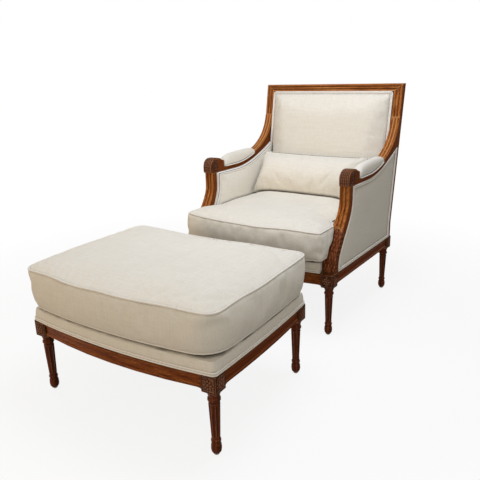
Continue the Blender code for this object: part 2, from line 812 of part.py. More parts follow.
def add_back(shop, cloth):
    """The pad inside the back frame and the flat cloth field behind it."""
    half = STILE_IN - SOFT_GAP
    top = BACK_HEIGHT - TOP_RAIL_HEIGHT - SOFT_GAP
    low = DECK_TOP + SOFT_GAP + BACK_PAD_THICKNESS * math.sin(BACK_RAKE)
    bottom_along = (low - RAKE_START) / math.cos(BACK_RAKE)
    top_along = (top - RAKE_START) / math.cos(BACK_RAKE)
    plane = raked_plane(RAKE_START) @ Matrix.Translation((0, 0, -BACK_PAD_THICKNESS))
    ring = rectangle(half, bottom_along, top_along, BACK_PAD_THICKNESS * BACK_PAD_CORNER_SHARE)
    shop.soft("back_pad", ring, PAD_SHARES, BACK_PAD_THICKNESS, BACK_PAD_CROWN, cloth, plane)
    heights = (RAIL_TOP + GAP, RAKE_START, top)
    field = [(stile_rear(z), z) for z in heights]
    field += [(stile_rear(z) - BACK_PANEL_THICKNESS, z) for z in reversed(heights)]
    shop.outline("back_outer_panel", field, 2 * half, cloth, side_plane(0.0))


def add_arm_pad(shop, name, side, cloth):
    """The stuffed pad on the arm's seat, from the knuckle to the sweep."""
    front = KNUCKLE_FRONT + KNUCKLE_LENGTH + SOFT_GAP
    rear = SWEEP_FRONT - SOFT_GAP
    middle = side * (CHAIR_OUT - STILE_WIDTH / 2)
    half = STILE_WIDTH / 2 + ARM_PAD_OVERHANG
    rings = []
    for length_share, height_share in ARM_PAD_HEIGHT_SHARES:
        y = front + (rear - front) * length_share
        seat = arm_seat_height(y) + SOFT_GAP
        narrow = half * (ARM_PAD_END_SHARE + (1 - ARM_PAD_END_SHARE) * height_share)
        height = ARM_PAD_HEIGHT * height_share
        ring = [Vector((middle + narrow * u, y, seat + height * v)) for u, v in ARM_PAD_ROUND_SHARES]
        rings.append(ring)
    obj = shop.mesh(name, loft(rings), cloth)
    smoothing = obj.modifiers.new("Smoothing", "SUBSURF")
    smoothing.levels = 1
    smoothing.render_levels = 1
    return obj


def bowed_outline(half_x, half_y, front, side, rear, corner, steps=OUTLINE_STEPS):
    """An outline whose sides bow out by front, side and rear, with softened corners."""
    ring = []
    for axis, sign, bow in ((0, -1, front), (1, 1, side), (0, 1, rear), (1, -1, side)):
        long_half = (half_x, half_y)[axis]
        far = (half_y, half_x)[axis]
        reach = long_half - corner
        for i in range(steps + 1):
            along = -reach + 2 * reach * i / steps
            out = far + bow_at(along / long_half, bow)
            if axis == 0:
                ring.append((along * -sign, out * sign))
            else:
                ring.append((out * sign, along * sign))
    return ring


def chair_deck_outline():
    """The sprung deck: it fills the front between the posts and the sides between the pads."""
    front_half = CHAIR_OUT - POST_FOOT_WIDTH - SOFT_GAP
    rear_half = SIDE_PAD_FACE - SIDE_PAD_CROWN - SOFT_GAP * 2
    front = BLOCK_HALF - RAIL_RECESS - DECK_INSET
    step = POST_FOOT_SETBACK + POST_DEPTH / 2 + SOFT_GAP
    rear = stile_rear(RAIL_TOP) - BACK_PANEL_THICKNESS - LOOSE_GAP
    ring = []
    for i in range(2 * OUTLINE_STEPS + 1):
        x = -front_half + front_half * i / OUTLINE_STEPS
        ring.append((x, -front - bow_at(x / CHAIR_HALF_X, CHAIR_FRONT_BOW)))
    ring += [(front_half, step), (rear_half, step), (rear_half, rear)]
    ring += [(-rear_half, rear), (-rear_half, step), (-front_half, step)]
    return ring


def seat_cushion_outline(height):
    """The loose cushion: a bowed nose before the posts, then straight between the pads."""
    z = min(DECK_TOP + height, DECK_TOP + CUSHION_THICKNESS)
    nose_half = CHAIR_OUT - POST_FOOT_WIDTH + NOSE_OVERHANG
    post_front = post_edge(z, -POST_DEPTH / 2).x - NOSE_TO_POST
    post_rear = post_edge(z, POST_DEPTH / 2).x
    between_posts = CHAIR_OUT - POST_FOOT_WIDTH - LOOSE_GAP
    between_pads = SIDE_PAD_FACE - SIDE_PAD_CROWN - LOOSE_GAP
    rear = back_pad_front(DECK_TOP) - CUSHION_TO_BACK
    nose_corner_y = -BLOCK_HALF - NOSE_PROJECTION + NOSE_BOW
    reach = nose_half - NOSE_CORNER
    cut = NOSE_CORNER * NOSE_CORNER_SHARE
    half = []
    for i in range(NOSE_STEPS + 1):
        share = i / NOSE_STEPS
        half.append((reach * share, nose_corner_y - bow_at(share, NOSE_BOW)))
    half.append((nose_half - cut, nose_corner_y + cut))
    half.append((nose_half, nose_corner_y + NOSE_CORNER))
    half.append((nose_half, post_front - cut))
    half.append((between_posts, post_front))
    half.append((between_pads, post_rear))
    for i in range(1, CUSHION_SIDE_STEPS):
        half.append((between_pads, post_rear + (rear - post_rear) * i / CUSHION_SIDE_STEPS))
    half.append((between_pads, rear - NOSE_CORNER))
    half.append((between_pads - NOSE_CORNER, rear))
    half.append((between_pads / 2, rear))
    mirrored = [(-x, y) for x, y in half[1:]]
    return half + [(0.0, rear)] + mirrored[::-1]


def add_chair(collection, parent, leg_meshes, finishes):
    wood, cloth, lining, webbing, metal = finishes
    shop = Workshop(collection, parent)
    places = {
        "front_left": (-CHAIR_HALF_X, 0.0),
        "front_right": (CHAIR_HALF_X, 0.0),
        "rear_left": (-CHAIR_HALF_X, REAR_AXIS),
        "rear_right": (CHAIR_HALF_X, REAR_AXIS),
    }
    add_legs(shop, "", places, wood, metal, leg_meshes)
    clear_x = CHAIR_HALF_X - BLOCK_HALF
    clear_y = REAR_AXIS / 2 - BLOCK_HALF
    face = BLOCK_HALF - RAIL_RECESS
    add_rail(shop, "front_seat_rail", clear_x, face, 0.0, CHAIR_FRONT_BOW, wood)
    rear = add_rail(shop, "rear_seat_rail", clear_x, face, math.pi, 0.0, wood)
    rear.location.y = REAR_AXIS
    for where, turn in (("right", math.pi / 2), ("left", -math.pi / 2)):
        rail = add_rail(shop, f"{where}_seat_rail", clear_y, CHAIR_HALF_X + face, turn, 0.0, wood)
        rail.location.y = REAR_AXIS / 2
    for where, corner in places.items():
        inward = (-1 if corner[0] > 0 else 1, 1 if corner[1] < clear_y else -1)
        add_corner_block(shop, f"{where}_corner_block", corner, inward, 0.0, wood)
    inner_x = CHAIR_HALF_X + BLOCK_HALF - FRAME_RECESS - GAP
    low_y = -BLOCK_HALF + FRAME_RECESS + GAP
    high_y = REAR_AXIS - low_y
    block_depth = BLOCK_SIDE - FRAME_RECESS
    add_webbing(shop, "seat_webbing", inner_x - block_depth, low_y, high_y, webbing)
    add_dust_cover(shop, "dust_cover", inner_x, low_y, high_y, block_depth, lining)
    add_top_rail(shop, "top_rail", wood)
    for side, where in ((1, "right"), (-1, "left")):
        add_stile(shop, f"{where}_stile", side, wood)
        add_arm(shop, f"{where}_arm", side, wood)
        add_post(shop, f"{where}_arm_post", side, wood)
        add_side_fields(shop, side, where, cloth)
        add_arm_pad(shop, f"{where}_arm_pad", side, cloth)
    add_back(shop, cloth)
    deck_middle = RAIL_TOP + GAP + (DECK_BAND - GAP) / 2
    shop.outline("seat_deck", chair_deck_outline(), DECK_BAND - GAP, cloth, flat_at(deck_middle))
    shop.soft(
        "seat_cushion",
        seat_cushion_outline,
        BOX_CUSHION_SHARES,
        CUSHION_THICKNESS,
        CUSHION_CROWN,
        cloth,
        flat_at(DECK_TOP + SOFT_GAP),
    )
    add_pillow(shop, cloth)


def add_pillow(shop, cloth):
    """The lumbar pillow, leaning from the seat cushion back on the pad."""
    half = PILLOW_THICKNESS / 2
    long_half = PILLOW_HEIGHT / 2
    ring = rectangle(PILLOW_WIDTH / 2, -long_half, long_half, half * PILLOW_CORNER_SHARE)
    cushion_top = DECK_TOP + SOFT_GAP + CUSHION_THICKNESS + CUSHION_CROWN
    half_rise = math.hypot(long_half * math.cos(PILLOW_LEAN), half * math.sin(PILLOW_LEAN))
    half_depth = math.hypot(long_half * math.sin(PILLOW_LEAN), half * math.cos(PILLOW_LEAN))
    z = cushion_top + half_rise - PILLOW_SETTLE
    y = back_pad_front(z) - BACK_PAD_CROWN - half_depth - PILLOW_TO_PAD
    lean = Matrix.Rotation(math.pi / 2 - PILLOW_LEAN, 4, "X")
    matrix = Matrix.Translation((0, y, z)) @ lean
    shop.soft("lumbar_pillow", ring, PILLOW_SHARES, half, 0.0, cloth, matrix)


def add_stool(collection, parent, leg_meshes, finishes):
    wood, cloth, lining, webbing, metal = finishes
    shop = Workshop(collection, parent)
    half_x = STOOL_LEG_SPACING_X / 2
    half_y = STOOL_LEG_SPACING_Y / 2
    places = {
        "front_left": (-half_x, -half_y),
        "front_right": (half_x, -half_y),
        "rear_left": (-half_x, half_y),
        "rear_right": (half_x, half_y),
    }
    add_legs(shop, "stool_", places, wood, metal, leg_meshes)
    face = BLOCK_HALF - RAIL_RECESS
    clear_x = half_x - BLOCK_HALF
    clear_y = half_y - BLOCK_HALF
    quarter = math.pi / 2
    add_rail(shop, "stool_front_rail", clear_x, half_y + face, 0.0, STOOL_FRONT_BOW, wood)
    add_rail(shop, "stool_rear_rail", clear_x, half_y + face, 2 * quarter, -STOOL_REAR_HOLLOW, wood)
    add_rail(shop, "stool_right_rail", clear_y, half_x + face, quarter, STOOL_SIDE_BOW, wood)
    add_rail(shop, "stool_left_rail", clear_y, half_x + face, -quarter, STOOL_SIDE_BOW, wood)
    hollow_here = bow_at((clear_x - CORNER_BLOCK_REACH) / clear_x, STOOL_REAR_HOLLOW)
    for where, corner in places.items():
        inward = (-1 if corner[0] > 0 else 1, 1 if corner[1] < 0 else -1)
        hollow = hollow_here if corner[1] > 0 else 0.0
        add_corner_block(shop, f"stool_{where}_corner_block", corner, inward, hollow, wood)
    inner_x = half_x + BLOCK_HALF - FRAME_RECESS - GAP
    inner_y = half_y + BLOCK_HALF - FRAME_RECESS - GAP
    block_depth = BLOCK_SIDE - FRAME_RECESS
    rear_y = inner_y - STOOL_REAR_HOLLOW
    add_webbing(shop, "stool_webbing", inner_x - block_depth, -inner_y, rear_y, webbing)
    add_dust_cover(shop, "stool_dust_cover", inner_x, -inner_y, rear_y, block_depth, lining)
    out_x = half_x + BLOCK_HALF
    out_y = half_y + BLOCK_HALF
    deck = bowed_outline(
        out_x - STOOL_DECK_INSET,
        out_y - STOOL_DECK_INSET,
        STOOL_FRONT_BOW,
        STOOL_SIDE_BOW,
        -STOOL_REAR_HOLLOW,
        STOOL_CORNER / 2,
    )
    deck_middle = RAIL_TOP + GAP + (DECK_BAND - GAP) / 2
    shop.outline("stool_deck", deck, DECK_BAND - GAP, cloth, flat_at(deck_middle))
    cushion = bowed_outline(
        out_x + STOOL_CUSHION_OVERHANG,
        out_y + STOOL_CUSHION_OVERHANG,
        STOOL_FRONT_BOW,
        STOOL_SIDE_BOW,
        -STOOL_REAR_HOLLOW,
        STOOL_CORNER,
        OUTLINE_STEPS - 1,
    )
    shop.soft(
        "stool_cushion",
        cushion,
        BOX_CUSHION_SHARES,
        STOOL_CUSHION_THICKNESS,
        STOOL_CUSHION_CROWN,
        cloth,
        flat_at(DECK_TOP + SOFT_GAP),
    )


def centre_on_floor(collection, roots):
    """Moves the roots so that the whole set stands centred on the origin."""
    bpy.context.view_layer.update()
    graph = bpy.context.evaluated_depsgraph_get()
    low = Vector((math.inf, math.inf))
    high = -low
    for obj in collection.objects:
        if obj.type == "EMPTY":
            continue
        evaluated = obj.evaluated_get(graph)
        mesh = evaluated.to_mesh()
        for vertex in mesh.vertices:
            point = (evaluated.matrix_world @ vertex.co).xy
            low = Vector(map(min, low, point))
            high = Vector(map(max, high, point))
        evaluated.to_mesh_clear()
    middle = (low + high) / 2
    for root in roots:
        root.location.x -= middle.x
        root.location.y -= middle.y
    bpy.context.view_layer.update()


def main():
    clear_scene()
    collection = bpy.data.collections.new("bergere_and_footstool")
    bpy.context.scene.collection.children.link(collection)
    wood = finish("polished_wood", (0.30, 0.10, 0.035), 0.30)
    cloth = finish("cream_weave", (0.78, 0.75, 0.67), 0.90)
    lining = finish("black_lining", (0.03, 0.03, 0.03), 0.95)
    webbing = finish("jute_webbing", (0.35, 0.26, 0.15), 0.95)
    metal = finish("nickel_glide", (0.70, 0.70, 0.68), 0.35, 1.0)
    finishes = (wood, cloth, lining, webbing, metal)
    chair = empty("chair_place", collection)
    stool = empty("stool_place", collection, (STOOL_ASIDE, -STOOL_AHEAD, 0), STOOL_TURN)
    leg_meshes = (leg_mesh("fluted_leg"), glide_mesh("nail_glide"))
    add_chair(collection, chair, leg_meshes, finishes)
    add_stool(collection, stool, leg_meshes, finishes)
    centre_on_floor(collection, (chair, stool))


main()
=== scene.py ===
"""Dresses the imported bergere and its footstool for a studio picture.

The frame's wooden nodes are shown as they are, in polished beech, and get their carving here.
Every soft node is replaced by cut, sewn and stuffed pieces. Lengths are metres, +Z is up and the
chair faces -Y. Left and right are as seen from in front.
"""

from __future__ import annotations

import logging
import math
from collections.abc import Callable, Iterable, Sequence
from dataclasses import dataclass, field
from enum import Enum
from functools import partial, reduce
from itertools import product

import bpy
import numpy as np
from mathutils import Matrix, Vector, noise
from mathutils.bvhtree import BVHTree
from mathutils.geometry import delaunay_2d_cdt


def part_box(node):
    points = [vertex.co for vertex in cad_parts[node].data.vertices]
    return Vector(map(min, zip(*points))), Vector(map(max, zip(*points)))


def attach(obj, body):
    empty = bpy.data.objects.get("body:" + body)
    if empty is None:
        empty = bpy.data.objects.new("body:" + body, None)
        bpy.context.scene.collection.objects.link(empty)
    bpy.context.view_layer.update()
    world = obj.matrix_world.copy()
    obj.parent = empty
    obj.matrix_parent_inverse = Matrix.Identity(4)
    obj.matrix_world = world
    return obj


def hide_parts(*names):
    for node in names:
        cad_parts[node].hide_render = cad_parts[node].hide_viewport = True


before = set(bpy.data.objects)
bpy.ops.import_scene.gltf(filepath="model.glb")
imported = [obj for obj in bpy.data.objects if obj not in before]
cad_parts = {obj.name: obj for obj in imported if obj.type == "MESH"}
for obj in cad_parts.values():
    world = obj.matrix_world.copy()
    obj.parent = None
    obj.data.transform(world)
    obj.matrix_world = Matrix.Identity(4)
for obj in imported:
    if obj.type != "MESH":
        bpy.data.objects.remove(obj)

LOG = logging.getLogger("bergere")
MILLIMETRE = 0.001
WHITE = "ffffff"

# The name of the attribute that says how deep a point of the carving lies: 1 is its ground and
# -1 its highest crest
HOLLOW = "hollow"

# Sockets of the colour Mix node, which has several of the same name
MIX_FACTOR, MIX_A, MIX_B, MIX_RESULT = 0, 6, 7, 2

# How many frames the cloth is left to settle
CLOTH_FRAMES = 20

# Each leg's place under a seat, and the way its block's two outward faces look on X and Y
CORNERS = {
    "front_left": (-1, -1), "front_right": (1, -1), "rear_left": (-1, 1), "rear_right": (1, 1)
}

# How far from the wood the two cords of a double welt lie
DOUBLE_WELT = (0.0036, 0.0098)

# How far the middle of a cushion's piping stands out of its seam
PIPING_OUTSET = 0.0034

Socket = bpy.types.NodeSocket
Outline = Sequence[Sequence[float]]
Faces = list[tuple[int, ...]]
Rims = tuple[np.ndarray, np.ndarray]
Sight = Callable[[float, float], tuple[Vector, Vector]]


class Axis(Enum):
    """A direction of the frame."""

    X = 0
    Y = 1
    Z = 2


class Body(Enum):
    """A body of the frame that pieces ride on."""

    CHAIR = "chair"
    SEAT_CUSHION = "seat_cushion"
    PILLOW = "lumbar_pillow"
    STOOL = "footstool"
    STOOL_CUSHION = "stool_cushion"


class Slot(Enum):
    """A material slot."""

    WOOD = "wood"
    FABRIC = "fabric"
    GLIDE = "glide"
    WEBBING = "webbing"
    LINING = "lining"


# Finishes


def linear(hex_colour: str) -> tuple[float, float, float, float]:
    """Turns an sRGB hex colour to linear red, green, blue and alpha.

    Args:
        hex_colour: six hex digits.

    Returns:
        The colour as shader sockets take it.
    """
    channels = []
    for start in (0, 2, 4):
        value = int(hex_colour[start : start + 2], 16) / 255
        channels.append(value / 12.92 if value <= 0.04045 else ((value + 0.055) / 1.055) ** 2.4)
    return (channels[0], channels[1], channels[2], 1.0)


@dataclass(frozen=True)
class Net:
    """A node tree, with a short way to add each kind of node that is used often."""

    tree: bpy.types.NodeTree

    def feed(self, node: bpy.types.Node, inputs: dict) -> None:
        """Links or sets the sockets of a node.

        Args:
            node: the node.
            inputs: a value, or another node's output to link, for each named or numbered socket.
        """
        for key, value in inputs.items():
            if isinstance(value, Socket):
                self.tree.links.new(value, node.inputs[key])
            else:
                node.inputs[key].default_value = value

    def add(self, kind: str, inputs: dict | None = None, **settings: object) -> bpy.types.Node:
        """Adds one node.

        Args:
            kind: the node's Blender type without its first word.
            inputs: what its sockets take, as for feed.
            settings: the node's own properties.

        Returns:
            The new node.
        """
        node = self.tree.nodes.new(f"ShaderNode{kind}")
        for name, value in settings.items():
            setattr(node, name, value)
        self.feed(node, inputs or {})
        return node

    def place(self) -> Socket:
        """The place on the piece, in metres."""
        return self.add("TexCoord").outputs["Object"]

    def scaled(self, place: Socket, scale: Sequence[float]) -> Socket:
        """A place with its three coordinates stretched."""
        return self.add("Mapping", {"Vector": place, "Scale": scale}).outputs[0]

    def speckle(self, place: Socket, scale: float, **inputs: float) -> Socket:
        """Soft random spots from 0 to 1."""
        return self.add("TexNoise", {"Vector": place, "Scale": scale, **inputs}).outputs["Fac"]

    def ranged(self, value: Socket, start: tuple, end: tuple) -> Socket:
        """A value mapped from the range in start to the one in end."""
        sockets = {"From Min": start[0], "From Max": start[1], "To Min": end[0], "To Max": end[1]}
        return self.add("MapRange", {"Value": value, **sockets}).outputs[0]

    def maths(self, operation: str, *values: Socket | float) -> Socket:
        """What an operation makes of its values."""
        return self.add("Math", dict(enumerate(values)), operation=operation).outputs[0]

    def total(self, values: Iterable[Socket]) -> Socket:
        """The sum of all the values."""
        return reduce(partial(self.maths, "ADD"), values)

    def mixed(self, share: Socket, first: Socket, hex_colour: str) -> Socket:
        """A colour with this share of another one over it."""
        sockets = {MIX_FACTOR: share, MIX_A: first, MIX_B: linear(hex_colour)}
        return self.add("Mix", sockets, data_type="RGBA").outputs[MIX_RESULT]

    def toned(self, value: Socket, *stops: tuple[float, str]) -> Socket:
        """The colour of a ramp at a value, given each stop's place and hex colour."""
        ramp = self.add("ValToRGB", {"Fac": value})
        elements = ramp.color_ramp.elements
        while len(elements) < len(stops):
            elements.new(1.0)
        for element, (spot, hex_colour) in zip(elements, stops):
            element.position = spot
            element.color = linear(hex_colour)
        return ramp.outputs[0]

    def openness(self, reach_mm: float, samples: int, **settings: bool) -> Socket:
        """How open the surface is within this reach: 0 in a deep crease and 1 in the open."""
        reach = {"Distance": reach_mm * MILLIMETRE}
        return self.add("AmbientOcclusion", reach, samples=samples, **settings).outputs["AO"]

    def bumped(self, height: Socket, strength: float, depth_mm: float) -> Socket:
        """The normal of a surface with this relief on it."""
        sockets = {"Height": height, "Strength": strength, "Distance": depth_mm * MILLIMETRE}
        return self.add("Bump", sockets).outputs[0]

    def layered(self, share: Socket, first: Socket, second: Socket) -> Socket:
        """Two shaders, with this share of the second."""
        return self.add("MixShader", {0: share, 1: first, 2: second}).outputs[0]

    def seen(self) -> Socket:
        """Whether a ray comes from the camera, directly, by a reflection or through glass."""
        rays = self.add("LightPath").outputs
        seen = self.maths("MAXIMUM", rays["Is Camera Ray"], rays["Is Glossy Ray"])
        return self.maths("MAXIMUM", seen, rays["Is Transmission Ray"])


def start_material(name: str) -> tuple[bpy.types.Material, Net, bpy.types.Node]:
    """Starts a material.

    Args:
        name: the material's name.

    Returns:
        The material, its nodes and its Principled shader.
    """
    material = bpy.data.materials.new(name)
    material.use_nodes = True
    net = Net(material.node_tree)
    return material, net, net.tree.nodes["Principled BSDF"]


@dataclass(frozen=True)
class PolishedBeech:
    """Stained beech, waxed and rubbed by hand.

    Straight close grain runs along the piece. The stain gathers in the carving and the polish wears
    lighter along the edges. Painted shade darkens the faces that look along X, the recesses and the
    joints, and painted highlight adds to the paler edges and crests.
    """

    grain: Axis
    name: str = "polished_beech"
    dark: str = "62300f"
    middle: str = "ad642d"
    light: str = "dc9856"
    # Stain and wax in the hollows, also used as painted shade in recesses and joints
    recess: str = "250e06"
    # Worn polish on the edges and crests, also standing for painted highlight
    worn_and_highlit: str = "e2a868"
    # Painted shade colour for the faces that look along X
    flank: str = "5a250d"
    streak_mm: float = 7.0
    streak_length_mm: float = 150.0
    pore_mm: float = 1.2
    pore_stretch: float = 14.0
    pore_depth_mm: float = 0.3
    recess_mm: float = 8.0
    edge_mm: float = 2.2
    tilt_degrees: float = 0.0

    def scales(self, across_mm: float, along_mm: float) -> tuple[float, float, float]:
        """The repeats per metre on X, Y and Z for marks of this size along the grain."""
        scale = [1 / (across_mm * MILLIMETRE)] * 3
        scale[self.grain.value] = 1 / (along_mm * MILLIMETRE)
        return tuple(scale)

    def make(self) -> bpy.types.Material:
        """Makes the material.

        Returns:
            The finished material.
        """
        material, net, shader = start_material(f"{self.name}_{self.grain.name.lower()}")
        tilt = (math.radians(self.tilt_degrees), 0.0, 0.0)
        place = net.add("Mapping", {"Vector": net.place(), "Rotation": tilt}).outputs[0]
        # Close grain in long streaks
        streaks = net.scaled(place, self.scales(self.streak_mm, self.streak_length_mm))
        grain = net.speckle(streaks, 1.0, Detail=5.0, Roughness=0.62, Distortion=0.5)
        colour = net.toned(grain, (0.28, self.dark), (0.5, self.middle), (0.74, self.light))
        # Pores as short dark flecks
        pores = net.scaled(place, self.scales(self.pore_mm, self.pore_mm * self.pore_stretch))
        pore = net.speckle(pores, 1.0, Detail=2.0)
        colour = net.mixed(net.ranged(pore, (0.34, 0.5), (0.7, 0.0)), colour, self.dark)
        # Painted shade: faces that look along X are made darker, redder and a little rougher
        facing = net.add("NewGeometry").outputs["True Normal"]
        sideways = net.maths("ABSOLUTE", net.add("SeparateXYZ", {0: facing}).outputs["X"])
        side_shade = net.ranged(sideways, (0.7, 0.96), (0.0, 0.7))
        colour = net.mixed(side_shade, colour, self.flank)
        # Dark stain and wax in the carving's hollows, and painted shade in recesses and where wood
        # meets wood or other pieces
        carved = net.add("Attribute", attribute_name=HOLLOW).outputs["Fac"]
        hollow = net.openness(self.recess_mm, 8, only_local=False)
        stain_and_shade = net.maths("MAXIMUM", net.ranged(hollow, (0.45, 0.92), (1.0, 0.0)), carved)
        colour = net.mixed(stain_and_shade, colour, self.recess)
        # Paler wood along the edges and on the carving's crests: polish worn by hands, and painted
        # highlight
        edge = net.openness(self.edge_mm, 6, inside=True, only_local=True)
        worn = net.ranged(edge, (0.35, 0.92), (0.75, 0.0))
        crest_wear_and_highlight = net.ranged(carved, (0.0, -1.0), (0.0, 0.28))
        colour = net.mixed(net.maths("MAXIMUM", worn, crest_wear_and_highlight), colour, self.worn_and_highlit)
        # A soft wax shine, a little glossier on the hard streaks
        gloss = net.maths("MAXIMUM", net.ranged(grain, (0.3, 0.7), (0.34, 0.24)), side_shade)
        relief = net.bumped(pore, 0.12, self.pore_depth_mm)
        net.feed(
            shader,
            {"Base Color": colour, "Roughness": gloss, "Normal": relief, "Specular IOR Level": 0.04},
        )
        return material


@dataclass(frozen=True)
class WovenCotton:
    """Plain woven cotton and linen, unbleached.

    Thick and thin threads give it faint streaks both ways, and the weave takes off all gloss.
    """

    name: str = "woven_cotton"
    base: str = "ece7da"
    slub: str = "e5dfd1"
    bleached: str = "f1ede3"
    # Painted shade colour for creases, seams and places where pieces touch
    crease_shade: str = "40362b"
    # A real thread is 0.5 mm apart, too fine to show, so the weave is drawn at 2.6 mm
    thread_mm: float = 2.6
    slub_mm: float = 4.0
    slub_length_mm: float = 85.0
    slub_share: float = 0.5
    relief_mm: float = 0.35
    crease_mm: float = 16.0

    def make(self) -> bpy.types.Material:
        """Makes the material.

        Returns:
            The finished material.
        """
        material, net, shader = start_material(self.name)
        place = net.place()
        # Threads across each axis, and slubs stretched along it
        split = net.add("SeparateXYZ", {0: place})
        threads, streaks = [], []
        for axis in Axis:
            turns = 2 * math.pi / (self.thread_mm * MILLIMETRE)
            turned = net.maths("MULTIPLY", split.outputs[axis.value], turns)
            threads.append(net.maths("SINE", turned))
            scale = [1 / (self.slub_mm * MILLIMETRE)] * 3
            scale[axis.value] = 1 / (self.slub_length_mm * MILLIMETRE)
            streaks.append(net.speckle(net.scaled(place, scale), 1.0, Detail=3.0))
        weave = net.total(threads)
        slubs = net.ranged(net.total(streaks), (1.1, 1.9), (0.0, 1.0))
        stops = ((0.0, self.slub), (self.slub_share, self.base), (1.0, self.bleached))
        colour = net.toned(slubs, *stops)
        # Broad faint clouds, and painted shade in creases, beside seams and where pieces touch
        cloud = net.speckle(place, 9.0, Detail=3.0, Roughness=0.6)
        colour = net.mixed(net.ranged(cloud, (0.35, 0.7), (0.0, 0.3)), colour, self.slub)
        hollow = net.openness(self.crease_mm, 6, only_local=False)
        colour = net.mixed(net.ranged(hollow, (0.22, 0.9), (1.0, 0.0)), colour, self.crease_shade)
        # A low relief of the weave and its slubs, matt, with a faint sheen of loose fibres
        height = net.maths("MULTIPLY_ADD", weave, 0.5, slubs)
        net.feed(shader, {"Base Color": colour, "Normal": net.bumped(height, 0.16, self.relief_mm)})
        net.feed(shader, {"Roughness": 0.9, "Specular IOR Level": 0.2})
        net.feed(shader, {"Sheen Weight": 0.12, "Sheen Roughness": 0.6})
        return material


@dataclass(frozen=True)
class NickelPlate:
    """Nickel plated steel, stamped: grey and bright, with fine scuffs from the floor."""

    colour: str = "b9b2a4"
    worn: str = "8f897d"

    def make(self) -> bpy.types.Material:
        """Makes the material.

        Returns:
            The finished material.
        """
        material, net, shader = start_material("nickel_plate")
        scuffs = net.speckle(net.place(), 900.0, Detail=4.0)
        tone = net.toned(scuffs, (0.3, self.worn), (0.7, self.colour))
        rough = net.ranged(scuffs, (0.0, 1.0), (0.18, 0.5))
        net.feed(shader, {"Base Color": tone, "Roughness": rough, "Metallic": 1.0})
        return material


@dataclass
class FinishShelf:
    """Every finish of the set, each made once."""

    wood: dict[Axis, bpy.types.Material] = field(init=False)
    shaded_wood: dict[Axis, bpy.types.Material] = field(init=False)
    aged_and_shaded_wood: dict[Axis, bpy.types.Material] = field(init=False)
    leaf_wood: bpy.types.Material = field(init=False)
    swept_wood: bpy.types.Material = field(init=False)
    cloth: bpy.types.Material = field(init=False)
    piping: bpy.types.Material = field(init=False)
    welt: bpy.types.Material = field(init=False)
    webbing: bpy.types.Material = field(init=False)
    lining: bpy.types.Material = field(init=False)
    glide: bpy.types.Material = field(init=False)

    def __post_init__(self) -> None:
        """Makes the materials."""
        # The rails lie in the seat's shade, so their copy is painted darker as shade; the legs and
        # knuckles have gone dark with age and polish, and the legs' dark is also painted shade under
        # the seat; the leaf is painted paler than them as highlight on its crests, and the sweep's
        # grain runs aslant with the arm
        shaded = ("shaded_beech", "52250e", "86461e", "ae6a33")
        aged_and_shaded = ("aged_and_shaded_beech", "371608", "683118", "905130", "140502", "d8a684", "3c1c0d")
        # The leaf's palette is paler than the aged wood as painted highlight on its crests
        leaf = ("leaf_beech", "54260f", "96502e", "cc8858", "180703", "c98f66", "4c2411")
        swept = ("swept_beech", "592b0e", "a05826", "cc8646")
        self.wood = {axis: PolishedBeech(axis).make() for axis in Axis}
        self.shaded_wood = {axis: PolishedBeech(axis, *shaded).make() for axis in Axis}
        self.aged_and_shaded_wood = {axis: PolishedBeech(axis, *aged_and_shaded, edge_mm=1.2).make() for axis in Axis}
        self.swept_wood = PolishedBeech(Axis.Z, *swept, tilt_degrees=32.0).make()
        self.leaf_wood = PolishedBeech(Axis.Z, *leaf, edge_mm=1.2).make()

        # Piping and welts are cut on the bias, finer and paler than the cloth between them; the
        # welts' extra pallor and light crease shade are painted highlight where the round cords
        # catch the light
        bias = ("bias_cut_cotton", "f2ede2", "e7e0d1", "f7f4ec", "8d8070", 1.8, 2.5, 9.0)
        welt = ("highlit_welt_cotton", "f8f4ec", "efeadd", "fcfaf6", "b9ad9b", 1.8, 2.5, 9.0)
        jute = ("jute_webbing", "a98a5c", "7c6139", "c2a678", "3d2f1b", 2.4, 2.5, 40.0)
        black = ("black_cotton_lining", "1d1b1b", "131212", "2a2827", "0a0909", 1.6, 3.0, 30.0)
        self.cloth = WovenCotton().make()
        self.piping = WovenCotton(*bias, crease_mm=2.5).make()
        # The welts' pale finish paints the highlight on their round cords
        self.welt = WovenCotton(*welt, crease_mm=2.0).make()
        self.webbing = WovenCotton(*jute, relief_mm=0.6).make()
        self.lining = WovenCotton(*black, relief_mm=0.2).make()
        self.glide = NickelPlate().make()


# Shapes


def smoothstep(t: float) -> float:
    """A share that leaves 0 and meets 1 smoothly."""
    t = min(max(t, 0.0), 1.0)
    return t * t * (3 - 2 * t)


def subdivide(outline: Outline, counts: Sequence[int]) -> np.ndarray:
    """Splits each side of a closed outline.

    Args:
        outline: the corners, in order.
        counts: how many parts each side is split into.

    Returns:
        The points, in order.
    """
    corners = np.array(outline, float)
    points = []
    for corner, following, count in zip(corners, np.roll(corners, -1, axis=0), counts):
        for i in range(count):
            points.append(corner + (following - corner) * i / count)
    return np.array(points)


def side_counts(outline: Outline, spacing: float) -> list[int]:
    """How many parts each side of an outline needs for points this far apart."""
    corners = np.array(outline, float)
    lengths = np.linalg.norm(np.roll(corners, -1, axis=0) - corners, axis=1)
    return [max(1, math.ceil(length / spacing)) for length in lengths]


def spaced(outline: Outline, spacing: float) -> np.ndarray:
    """A closed outline with points no further apart than this."""
    return subdivide(outline, side_counts(outline, spacing))


def signed_area(rim: np.ndarray) -> float:
    """The area inside a rim, negative where the rim runs clockwise."""
    x, y = rim[:, 0], rim[:, 1]
    return float((x * np.roll(y, -1) - y * np.roll(x, -1)).sum()) / 2


def laid(matrix: Matrix, path: Iterable[Sequence[float]], height: float) -> list[Vector]:
    """A flat path's points in the frame, at one height over its plane."""
    return [matrix @ Vector((*p, height)) for p in path]


